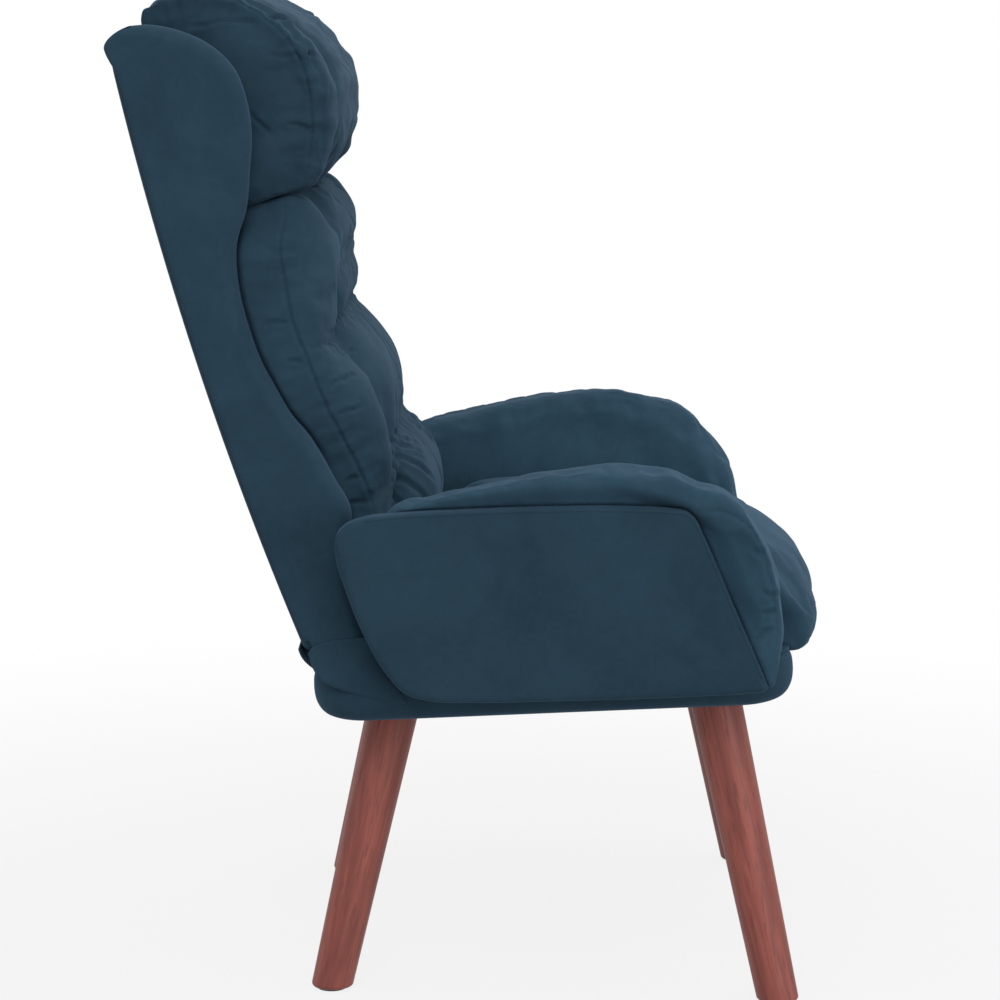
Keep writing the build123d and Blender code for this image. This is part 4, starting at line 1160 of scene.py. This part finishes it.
class CHAIR_OT_head_cushion(bpy.types.Operator):
    """Head cushion that stands above the wings"""

    bl_idname = "chair.head_cushion"
    bl_label = "Head cushion"

    def execute(self, context):
        settings = context.scene.chair_stuffing
        half = CUSHION_HALF_WIDTH
        grids = cushion_grids(
            outline(HEAD_SEAM, HEAD_COUNTS), outline(HEAD_RIDGE, HEAD_COUNTS),
            outline(HEAD_MIDDLE, HEAD_COUNTS), half, HEAD_RIDGE_AT, on_back, puff=0.002,
            groove=front_groove(HEAD_COUNTS, (2,), 0.005),
        )
        piece = mesh_piece("head_cushion_cover", grids)
        first = HEAD_COUNTS[0] + HEAD_COUNTS[1] - 12
        seams = seam_lines(HEAD_SEAM, HEAD_COUNTS, half, on_back, first, sum(HEAD_COUNTS[:3]))
        held = held_near(seams, 0.010, lambda p: behind(p, HELD_DEPTH))
        stuff(piece, settings.pressure, settings.limit, held, surplus=settings.surplus, take_in=0.002)
        gather(piece, seams, 0.021, 0.0013, 0.026, 11)
        gather(piece, seams, 0.011, 0.0006, 0.010, 12)
        press(piece, seams, 0.0024, 0.0024, 0.0007)
        press(piece, strokes(HEAD_FOLDS, on_back), 0.0032, 0.0024, 0.0018)
        front = from_back(coordinates(piece)[0])
        puckers = np.clip((front[:, 1] - 0.10) / 0.06, 0, 1)
        swell(piece, 0.0016 * puckers * ripple(front * (0.35, 1.0, 1.0), 0.034, 21))
        finish_piece(piece, chair_velvet(HEAD_PAINTED_SHADE), "velvet", "backrest", "head_cushion")
        return {"FINISHED"}


class CHAIR_OT_back_cushion(bpy.types.Operator):
    """Back cushion with its sewn channels"""

    bl_idname = "chair.back_cushion"
    bl_label = "Back cushion"

    def execute(self, context):
        settings = context.scene.chair_stuffing
        half = CUSHION_HALF_WIDTH
        grids = cushion_grids(
            outline(BACK_SEAM, BACK_COUNTS), outline(BACK_RIDGE, BACK_COUNTS),
            outline(BACK_MIDDLE, BACK_COUNTS), half, BACK_RIDGE_AT, on_back, puff=0.003,
            groove=front_groove(BACK_COUNTS, (2, 3), 0.006),
        )
        piece = mesh_piece("back_cushion_cover", grids)
        first = BACK_COUNTS[0] + BACK_COUNTS[1]
        seams = seam_lines(BACK_SEAM, BACK_COUNTS, half, on_back, first, sum(BACK_COUNTS[:4]))
        channels = [across_back(knots) for knots in BACK_CHANNELS]
        held = held_near(seams + channels, 0.009, lambda p: behind(p, HELD_DEPTH))
        stuff(piece, settings.pressure, settings.limit, held, surplus=0.4 * settings.surplus, take_in=0.002)
        gather(piece, channels, 0.033, 0.0010, 0.020, 31)
        gather(piece, seams, 0.020, 0.0011, 0.020, 32)
        gather(piece, seams, 0.010, 0.0006, 0.009, 33)
        press(piece, seams, 0.0024, 0.0025, 0.0007)
        press(piece, channels[:1], 0.0042, 0.006, 0.001)
        press(piece, strokes(BACK_FOLDS, on_back), 0.0032, 0.0025, 0.0018)
        press(piece, strokes(BACK_FANS, on_back), 0.0052, 0.0022, 0.0016)
        billow_sides(piece)
        front = from_back(coordinates(piece)[0])
        puckers = np.clip((front[:, 1] - 0.08) / 0.05, 0, 1)
        swell(piece, 0.0010 * puckers * ripple(front * (0.4, 1.0, 1.0), 0.036, 41))
        finish_piece(piece, chair_velvet(), "velvet", "backrest", "back_cushion")
        return {"FINISHED"}


def billow_sides(piece):
    """Fills the back cushion's sides out to the wings in front of them: x moves out by
    BILLOW * f * w, where f rises over 11 mm at the wing's front edge and falls to 0 towards the
    cushion's front, and w rises above the arms and falls below the head cushion. Below 115 mm the
    sides move out by 7 mm beside the hinge plates and by 12 mm in front of them. The lower edge hangs
    10 mm further down, towards the seat, and its corners 29 mm."""
    points, _ = coordinates(piece)
    x, forward, up = from_back(points).T
    front = smooth_curve(WING_FRONT, 900) * MM
    ahead = forward - np.interp(up, front[:, 1], front[:, 0])
    f = step_up(ahead, -0.001, 0.011) * (1 - step_up(forward, 0.125, 0.06))
    w = step_up(up, 0.205, 0.11) * (1 - step_up(up, 0.408, 0.05))
    low = (1 - step_up(up, 0.113, 0.02)) * (1 - step_up(forward, 0.132, 0.04))
    beside_hinge = LOW_SIDE + LOW_SIDE_MORE * step_up(forward, 0.077, 0.010)
    outer = step_up(np.abs(x), 0.215, 0.04)
    points[:, 0] += np.sign(x) * (BILLOW * f * w + beside_hinge * low) * outer
    drop = EDGE_DROP + CORNER_DROP * step_up(np.abs(x), 0.150, 0.08)
    drop = drop * (1 - step_up(up, 0.09, 0.06)) * step_up(forward, 0.072, 0.02)
    points[:, 1:] -= drop[:, None] * (on_back(0.0, 0.0, 1.0) - on_back(0.0, 0.0, 0.0))[1:]
    set_coordinates(piece, points)


def front_groove(counts, runs, depth):
    """A groove of the given depth in the front runs of an outline, fading as sin at their ends."""
    first, last = sum(counts[: runs[0]]), sum(counts[: runs[-1] + 1])
    groove = np.zeros((sum(counts), 2))
    groove[first:last, 0] = -depth * np.sqrt(np.sin(np.linspace(0, math.pi, last - first)))
    return groove


def behind(points, forward):
    """Whether points of the chair are less than forward in front of the shell."""
    return from_back(points)[:, 1] < forward


def across_back(knots):
    """A line across the back cushion from knots (x, forward, up), mirrored about the middle."""
    knots = np.array(knots, float)
    whole = np.vstack((knots * (-1, 1, 1), knots[::-1][1:]))
    return on_back(*(smooth_curve(whole, 70) * MM).T)


def swell(piece, move):
    """Moves every vertex along its normal by move."""
    points, normals = coordinates(piece)
    set_coordinates(piece, points + normals * move[:, None])


class CHAIR_OT_seat_cushion(bpy.types.Operator):
    """Seat cushion with its nose over the front of the base"""

    bl_idname = "chair.seat_cushion"
    bl_label = "Seat cushion"

    def execute(self, context):
        settings = context.scene.chair_stuffing
        side, middle = outline(SEAT_SIDE, SEAT_COUNTS), outline(SEAT_MIDDLE, SEAT_COUNTS)
        half = SEAT_HALF_WIDTH - 0.001
        ridge = side + SEAT_RIDGE_SHARE * (middle - side)
        grids = cushion_grids(side, ridge, middle, half, SEAT_RIDGE_AT, on_seat, puff=0.003)
        piece = mesh_piece("seat_cushion_cover", grids)
        first = SEAT_COUNTS[0] + 40
        seams = seam_lines(SEAT_SIDE, SEAT_COUNTS, half, on_seat, first, sum(SEAT_COUNTS[:3]))
        stuff(
            piece, settings.pressure, 0.6 * settings.limit, held_near(seams, 0.010, under_seat),
            surplus=0.2 * settings.surplus, take_in=0.002,
        )
        gather(piece, seams, 0.026, 0.0009, 0.024, 51)
        points, _ = coordinates(piece)
        top = np.clip((points[:, 2] - 0.40) / 0.05, 0, 1)
        swell(piece, 0.0012 * top * ripple(points, 0.09, 52))
        finish_piece(piece, chair_velvet(SEAT_PAINTED_LIGHT), "velvet", "base", "seat_cushion")
        return {"FINISHED"}


def under_seat(points):
    """Whether points lie on the seat cushion's underside."""
    return points[:, 2] < SEAT_START[1] + 0.062


class CHAIR_OT_arm_cushions(bpy.types.Operator):
    """Cushions that wrap the arms' tops, fronts and insides"""

    bl_idname = "chair.arm_cushions"
    bl_label = "Arm cushions"

    def execute(self, context):
        settings = context.scene.chair_stuffing
        centre = (ARM_INNER + ARM_OUTER) / 2
        half = (ARM_OUTER - ARM_INNER) / 2
        end, middle = outline(ARM_SIDE, ARM_COUNTS), outline(ARM_MIDDLE, ARM_COUNTS)
        for hand, side in SIDES:
            def place(x, b, u):
                """The cushion leans outwards and its front hangs down."""
                return on_seat(side * (centre + x + arm_lean(x, u, half)), b, u - foot_drop(x, b, u))

            ridge = end + ARM_RIDGE_SHARE * (middle - end)
            grids = cushion_grids(end, ridge, middle, half, 0.5 * half, place, puff=0.0, columns=51)
            piece = mesh_piece(f"{hand}_arm_pad", grids)
            first = ARM_COUNTS[0] + 6
            line = end[first : sum(ARM_COUNTS[:3])]
            seam = [on_seat(side * ARM_INNER, line[:, 0], line[:, 1])]
            held = held_near(seam, 0.008, lambda p: np.abs(p[:, 0]) > 0.318)
            stuff(
                piece, settings.pressure, 0.5 * settings.limit, held,
                surplus=0.6 * settings.surplus, take_in=0.001,
            )
            roll_over_panel(piece)
            gusset = smooth_curve(GUSSET_SEAM, 60) * MM
            press(piece, [on_seat(side * GUSSET_X, gusset[:, 0], gusset[:, 1])], 0.0026, 0.0022, 0.0008)
            folds = [even_points(np.array(row, float), 8) * MM for row in GUSSET_FOLDS]
            press(piece, [on_seat(side * GUSSET_X, f[:, 0], f[:, 1]) for f in folds], 0.0042, 0.0026, 0.0022)
            points, _ = coordinates(piece)
            front = np.clip((-0.15 - points[:, 1]) / 0.08, 0, 1)
            swell(piece, (0.0008 + 0.0016 * front) * ripple(points * (0.5, 1, 1), 0.045, 61))
            finish_piece(piece, chair_velvet(PAD_PAINTED_LIGHT), "velvet", "base", f"{hand}_arm_cushion")
        return {"FINISHED"}


def panel_edge(knots, at):
    """Height of an arm panel's edge at the distances at, through its knots."""
    curve = smooth_curve(knots, 900) * MM
    order = np.maximum.accumulate(curve[:, 0])
    return np.interp(at, order, curve[:, 1])


def arm_lean(x, up, half):
    """How far an arm cushion leans outwards: ARM_LEAN at its inner face from 240 mm up, nothing at its
    outer face or below 130 mm."""
    return ARM_LEAN * step_up(up, 0.185, 0.11) * (half - x) / (2 * half)


def foot_drop(x, rear, up):
    """How far an arm cushion's front hangs down outside the base: FRONT_DROP at its outer face below
    45 mm."""
    low = 1 - step_up(up, 0.065, 0.04)
    return FRONT_DROP * step_up(x, 0.020, 0.012) * low * (1 - step_up(rear, -0.235, 0.05))


def roll_over_panel(piece):
    """Rolls an arm cushion out over its panel's top and front edges.

    x moves out by a * b * (ARM_ROLL * t + (f + (0.017 - f) * g) * (1 - t)). a rises over the outer
    24 mm of the cushion, b over 5 mm at the panel's outline, t is 1 above the panel and 0 in front of
    it, g rises over the first 22 mm off the panel's front edge, and f, the depth beside that edge, is
    8 mm at half height and 16 mm at the foot.
    """
    points, _ = coordinates(piece)
    y, z = points[:, 1] - SEAT_START[0], points[:, 2] - SEAT_START[1]
    cos, sin = math.cos(SEAT_PITCH), math.sin(SEAT_PITCH)
    rear, up = y * cos - z * sin, y * sin + z * cos
    edge = smooth_curve(PANEL_UPPER, 160) * MM
    gap = distance_to_line(pairs(rear, up), edge)[0]
    beyond = np.where(up < panel_edge(PANEL_UPPER, rear), -gap, gap)
    outer = step_up(np.abs(points[:, 0]), 0.306, 0.024)
    on_top = step_up(up - 0.45 * (rear + 0.22), 0.200, 0.022)
    beside_edge = 0.016 - 0.008 * step_up(up, 0.085, 0.06)
    in_front = beside_edge + (0.017 - beside_edge) * step_up(beyond, 0.012, 0.022)
    reach = ARM_ROLL * on_top + in_front * (1 - on_top)
    points[:, 0] += np.sign(points[:, 0]) * outer * step_up(beyond, 0.0, 0.005) * reach
    set_coordinates(piece, points)


class CHAIR_OT_arm_panels(bpy.types.Operator):
    """Padded outer panels of the arms, with the welt along their front and top edges"""

    bl_idname = "chair.arm_panels"
    bl_label = "Arm panels"

    def execute(self, context):
        rear = PANEL_START + PANEL_LENGTH * crowded(160)
        lower, upper = panel_edge(PANEL_LOWER, rear), panel_edge(PANEL_UPPER, rear)
        turn = rear[rear > TURN_START]
        turn_low = np.maximum(panel_edge(PANEL_LOWER, turn), DECK_UP + 0.001)
        turn_high = panel_edge(PANEL_UPPER, turn) - 0.004
        for hand, side in SIDES:
            def place(b, u, x):
                return on_seat(side * x, b, u)

            grids = slab_grids(
                pairs(rear, lower), pairs(rear, upper), place,
                PANEL_INNER, PANEL_OUTER, (0.003, 0.003), (0.0065, 0.0045), crown=0.0025, columns=40,
            )
            edge = even_points(smooth_curve(PANEL_UPPER, 400)[8:370] * MM, 220)
            along = np.gradient(edge, axis=0)
            along /= np.linalg.norm(along, axis=1)[:, None]
            welt = edge + WELT_OFF * pairs(along[:, 1], -along[:, 0])
            grids += tube_grid(on_seat(side * WELT_X, welt[:, 0], welt[:, 1]), WELT_RADIUS, around=12)
            grids += slab_grids(
                pairs(turn, turn_low), pairs(turn, turn_high), place,
                TURN_INNER, PANEL_INNER + 0.002, (0.008, 0.008), (0.001, 0.001), columns=24,
            )
            piece = mesh_piece(f"{hand}_arm_side", grids)
            finish_piece(piece, chair_velvet(PANEL_PAINTED_SHADE), "velvet", "base", f"{hand}_arm_panel")
        return {"FINISHED"}


class CHAIR_OT_base_cover(bpy.types.Operator):
    """Cloth-covered wall of the base, which turns in under the rails"""

    bl_idname = "chair.base_cover"
    bl_label = "Base cover"

    def execute(self, context):
        wall = smooth_curve(BASE_WALL, 40) * MM
        inner = wall[::-1] + np.array((0.0055, 0.0))
        inner[:, 1] = np.clip(inner[:, 1] + 0.0055 * np.clip((0.03 - inner[:, 1]) / 0.03, 0, 1), None, 0.0455)
        section = np.vstack((wall, inner, wall[:1]))
        arc = np.linspace(0, math.pi / 2, 14)
        middle = (BASE_FRONT + BASE_REAR) / 2
        half_depth = (BASE_REAR - BASE_FRONT) / 2
        turns = []
        for quarter in range(4):
            angle = arc + quarter * math.pi / 2
            corner_x = (BASE_HALF_WIDTH - BASE_CORNER) * (1 if quarter in (0, 3) else -1)
            corner_y = (half_depth - BASE_CORNER) * (1 if quarter in (0, 1) else -1)
            turns.append(np.stack((corner_x + 0 * angle, corner_y + 0 * angle, angle), axis=1))
        path = np.vstack(turns + [turns[0][:1] + (0, 0, 2 * math.pi)])
        reach = BASE_CORNER - section[None, :, 0]
        x = path[:, None, 0] + reach * np.cos(path[:, None, 2])
        b = middle + path[:, None, 1] + reach * np.sin(path[:, None, 2])
        x[-1], b[-1] = x[0], b[0]
        grids = [on_seat(x, b, section[None, :, 1] + 0 * x)]
        b = np.linspace(*LUG_RUN, 40)
        foot = np.sqrt(np.clip(FOOT_CLEARANCE**2 - (b - HINGE_IN_SEAT[0]) ** 2, 0, None))
        top = np.minimum(np.where(foot > 0, HINGE_IN_SEAT[1] - foot, 1.0), LUG_TOP)
        for _, side in SIDES:
            grids += slab_grids(
                pairs(b, 0 * b + 0.043), pairs(b, top), lambda p, q, h: on_seat(side * h, p, q),
                *LUG_SIDES, (0.001, 0.001), (0.002, 0.002), columns=14,
            )
            grids += flap_grids(side)
        piece = mesh_piece("base_wall", grids)
        finish_piece(piece, chair_velvet(), "velvet", "base", "base_cover")
        return {"FINISHED"}


def flap_grids(side):
    """A flap of the base's cover that stands up outside a wing's foot. Its outer face lies 2.5 mm off
    the wing at its top edge and swells to the base's wall at its lower edge, as a smooth step."""
    lower, upper = smooth_curve(FLAP_LOWER, 60) * MM, smooth_curve(FLAP_UPPER, 60) * MM

    def outer(b, u):
        drop = np.interp(b, upper[:, 0], upper[:, 1]) - u
        return FLAP_TOP + (BASE_HALF_WIDTH + 0.0045 - FLAP_TOP) * step_up(drop, 0.020, 0.034)

    return slab_grids(
        lower, upper, lambda b, u, x: on_seat(side * x, b, u), FLAP_INNER, outer,
        (0.0005, 0.0005), (0.004, 0.0016), columns=30,
    )


class CHAIR_OT_skirt(bpy.types.Operator):
    """Strip of cloth that closes the gap between the base and the foot of the rear panel"""

    bl_idname = "chair.skirt"
    bl_label = "Rear skirt"

    def execute(self, context):
        x = np.linspace(-SKIRT_HALF_WIDTH, SKIRT_HALF_WIDTH, 90)[:, None]
        t = np.linspace(0, 1, 14)[None, :]
        foot, head = on_seat(x, *SKIRT_FOOT), on_back(x, *SKIRT_HEAD)
        arch = np.sin(math.pi * t)
        bulge = 0.0045 * arch + 0.0008 * np.sin(x * 130 + 3 * np.sin(x * 31)) * arch
        sheet = foot * (1 - t[..., None]) + head * t[..., None]
        sheet[..., 1] += bulge
        piece = mesh_piece("rear_skirt", [sheet])
        thicken(piece, 0.0016)
        piece.data.materials.append(chair_velvet())
        tuple(foot[45, 0])
        tuple(head[45, 0])
        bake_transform(piece)
        return {"FINISHED"}


class CHAIR_OT_dust_cover(bpy.types.Operator):
    """Thin black cloth stapled under the base"""

    bl_idname = "chair.dust_cover"
    bl_label = "Dust cover"

    def execute(self, context):
        b = COVER_FRONT + (COVER_REAR - COVER_FRONT) * crowded(70)
        near_end = np.clip(1 - np.minimum(b - COVER_FRONT, COVER_REAR - b) / COVER_CORNER, 0, 1)
        reach = COVER_HALF_WIDTH - COVER_CORNER * (1 - np.sqrt(1 - near_end**2))
        x = np.linspace(-1, 1, 60)[None, :] * reach[:, None]
        sag = -0.0006 + 0.0005 * np.sin(17 * b[:, None]) * np.sin(13 * x)
        piece = mesh_piece("underside_cloth", [on_seat(x, b[:, None] + 0 * x, sag)])
        thicken(piece, 0.0008)
        finish_piece(piece, frame_finish("black_cloth"), "black_cloth", "base", "dust_cover")
        return {"FINISHED"}


class CHAIR_OT_finishes(bpy.types.Operator):
    """Finishes of the frame parts, fasteners and legs that keep their own shapes"""

    bl_idname = "chair.finishes"
    bl_label = "Legs, frame and fittings"

    def execute(self, context):
        slots = {s["node"]: s["material_slot"] for s in frame["record"]["subparts"]}
        for name, node in frame["nodes"].items():
            if node.hide_render:
                continue
            slot = slots.get(name, "velvet")
            if slot == "leg_wood":
                material = stained_leg(f"stain_{name}", leg_turn(node))
            elif slot in FRAME_FINISHES and name != "seat_deck":
                material = frame_finish(slot)
            else:
                material = chair_velvet()
            node.data.materials.clear()
            node.data.materials.append(material)
        return {"FINISHED"}


def leg_turn(node):
    """Rotation that stands a leg's long axis up, so that its grain can be drawn along z."""
    points, _ = coordinates(node)
    low, high = points[:, 2].min(), points[:, 2].max()
    foot = points[points[:, 2] < low + 0.01].mean(0)
    top = points[points[:, 2] > high - 0.01].mean(0)
    turn = Vector(top - foot).rotation_difference(Vector((0, 0, 1)))
    return tuple(turn.to_euler())


FLOOR_HALF_SIZE = 14.0
CAMERA_Y, CAMERA_SHIFT = -0.0295, -0.001

# Round lights: name, place, the point they face, width and power
LIGHTS = (
    ("front_light", (-2.3, -2.2, 0.45), (0, -0.1, 0.5), 1.8, 27),
    ("side_light", (-4.2, 0.3, 3.6), (0, -0.1, 0.5), 2.8, 92),
    ("top_light", (0.3, -0.9, 3.1), (0, -0.1, 0.4), 2.2, 18),
)


class CHAIR_OT_stage(bpy.types.Operator):
    """Pale floor, soft lights and the camera"""

    bl_idname = "chair.stage"
    bl_label = "Stage"

    def execute(self, context):
        scene = context.scene
        look = scene.chair_stage
        line = np.linspace(-FLOOR_HALF_SIZE, FLOOR_HALF_SIZE, 41)
        grid = np.stack(np.meshgrid(line, line, indexing="ij") + [np.zeros((41, 41))], axis=-1)
        floor = mesh_piece("floor", [grid])
        floor.data.materials.append(floor_material())
        scene.world = pale_world(look)
        for name, place, aim, width, power in LIGHTS:
            lamp = bpy.data.lights.new(name, "AREA")
            lamp.shape = "DISK"
            lamp.size = width
            lamp.energy = power * look.brightness
            aim_at(add_object(name, lamp), place, aim)
        camera = bpy.data.cameras.new("camera")
        camera.lens = look.lens
        camera.sensor_width = 36
        camera.clip_end = 100
        camera.shift_x = CAMERA_SHIFT
        thing = add_object("camera", camera)
        thing.location = (-look.distance, CAMERA_Y, look.height)
        thing.rotation_euler = (math.pi / 2 - look.tilt, 0, -math.pi / 2)
        scene.camera = thing
        scene.view_settings.view_transform = "Standard"
        return {"FINISHED"}


def aim_at(thing, place, target):
    """Puts a light at place and points it at target."""
    thing.location = place
    thing.rotation_mode = "QUATERNION"
    thing.rotation_quaternion = (Vector(target) - Vector(place)).to_track_quat("-Z", "Y")


def camera_or_mirror(tree):
    """1 for what the camera, a glossy surface or a glass sees directly."""
    path = tree.nodes.new("ShaderNodeLightPath")
    seen = math_node(tree, "MAXIMUM", path.outputs["Is Camera Ray"], path.outputs["Is Glossy Ray"])
    return math_node(tree, "MAXIMUM", seen, path.outputs["Is Transmission Ray"])


def floor_material():
    """Plain white floor that keeps a soft shadow near the chair and fades to plain white away from it."""
    material = bpy.data.materials.new("floor_white")
    material.use_nodes = True
    tree = material.node_tree
    tree.nodes.remove(tree.nodes["Principled BSDF"])
    plain = tree.nodes.new("ShaderNodeBsdfDiffuse")
    grain = noise(tree, object_point(tree), 3.0, 2)
    tone = tree.nodes.new("ShaderNodeMix")
    tone.data_type = "RGBA"
    tone.inputs[6].default_value = (0.44, 0.44, 0.44, 1)
    tone.inputs[7].default_value = (0.47, 0.47, 0.47, 1)
    tree.links.new(grain, tone.inputs[0])
    tree.links.new(tone.outputs[2], plain.inputs["Color"])
    white = tree.nodes.new("ShaderNodeEmission")
    reach = tree.nodes.new("ShaderNodeVectorMath")
    reach.operation = "LENGTH"
    tree.links.new(object_point(tree), reach.inputs[0])
    away = spread(tree, reach.outputs["Value"], 0.5, 1.8, 0.84, 1.0)
    share = math_node(tree, "MULTIPLY", away, camera_or_mirror(tree))
    mix = tree.nodes.new("ShaderNodeMixShader")
    tree.links.new(share, mix.inputs[0])
    tree.links.new(plain.outputs[0], mix.inputs[1])
    tree.links.new(white.outputs[0], mix.inputs[2])
    tree.links.new(mix.outputs[0], tree.nodes["Material Output"].inputs["Surface"])
    return material


def pale_world(look):
    """White behind the chair, and an even soft light from all round."""
    world = bpy.data.worlds.new("studio")
    world.use_nodes = True
    tree = world.node_tree
    light = tree.nodes["Background"]
    light.inputs["Color"].default_value = (1, 1, 1, 1)
    strength = spread(tree, camera_or_mirror(tree), 0, 1, 0.80 * look.brightness, 1.0)
    tree.links.new(strength, light.inputs["Strength"])
    return world


class CHAIR_PT_panel(bpy.types.Panel):
    """The armchair's steps and settings"""

    bl_idname = "CHAIR_PT_panel"
    bl_label = "Armchair"
    bl_space_type = "VIEW_3D"
    bl_region_type = "UI"
    bl_category = "Armchair"

    def draw(self, context):
        scene = context.scene
        for title, group in (
            ("Velvet", scene.chair_velvet), ("Legs", scene.chair_wood),
            ("Stuffing", scene.chair_stuffing), ("Stage", scene.chair_stage),
        ):
            box = self.layout.box()
            box.label(text=title)
            for label in group.bl_rna.properties.keys():
                if label not in ("rna_type", "name"):
                    box.prop(group, label)
        for step in STEPS:
            self.layout.operator(step.bl_idname)


STEPS = (
    CHAIR_OT_wings, CHAIR_OT_rear_panel, CHAIR_OT_back_cushion, CHAIR_OT_head_cushion,
    CHAIR_OT_seat_cushion, CHAIR_OT_arm_cushions, CHAIR_OT_arm_panels, CHAIR_OT_base_cover,
    CHAIR_OT_skirt, CHAIR_OT_dust_cover, CHAIR_OT_finishes, CHAIR_OT_stage,
)
GROUP_CLASSES = (
    ("chair_velvet", VelvetLook), ("chair_wood", WoodLook), ("chair_stuffing", StuffingSettings),
    ("chair_stage", StageLook),
)


def register():
    """Makes the settings, the steps and the panel known to Blender."""
    for name, group in GROUP_CLASSES:
        bpy.utils.register_class(group)
        setattr(bpy.types.Scene, name, PointerProperty(type=group))
    for step in STEPS:
        bpy.utils.register_class(step)
    bpy.utils.register_class(CHAIR_PT_panel)


def unregister():
    """Undoes register."""
    bpy.utils.unregister_class(CHAIR_PT_panel)
    for step in reversed(STEPS):
        bpy.utils.unregister_class(step)
    for name, group in reversed(GROUP_CLASSES):
        delattr(bpy.types.Scene, name)
        bpy.utils.unregister_class(group)


def main():
    """Builds the chair and its stage."""
    register()
    bpy.ops.chair.wings()
    bpy.ops.chair.rear_panel()
    bpy.ops.chair.back_cushion()
    bpy.ops.chair.head_cushion()
    bpy.ops.chair.seat_cushion()
    bpy.ops.chair.arm_cushions()
    bpy.ops.chair.arm_panels()
    bpy.ops.chair.base_cover()
    bpy.ops.chair.skirt()
    bpy.ops.chair.dust_cover()
    bpy.ops.chair.finishes()
    bpy.ops.chair.stage()


if __name__ == "__main__":
    main()
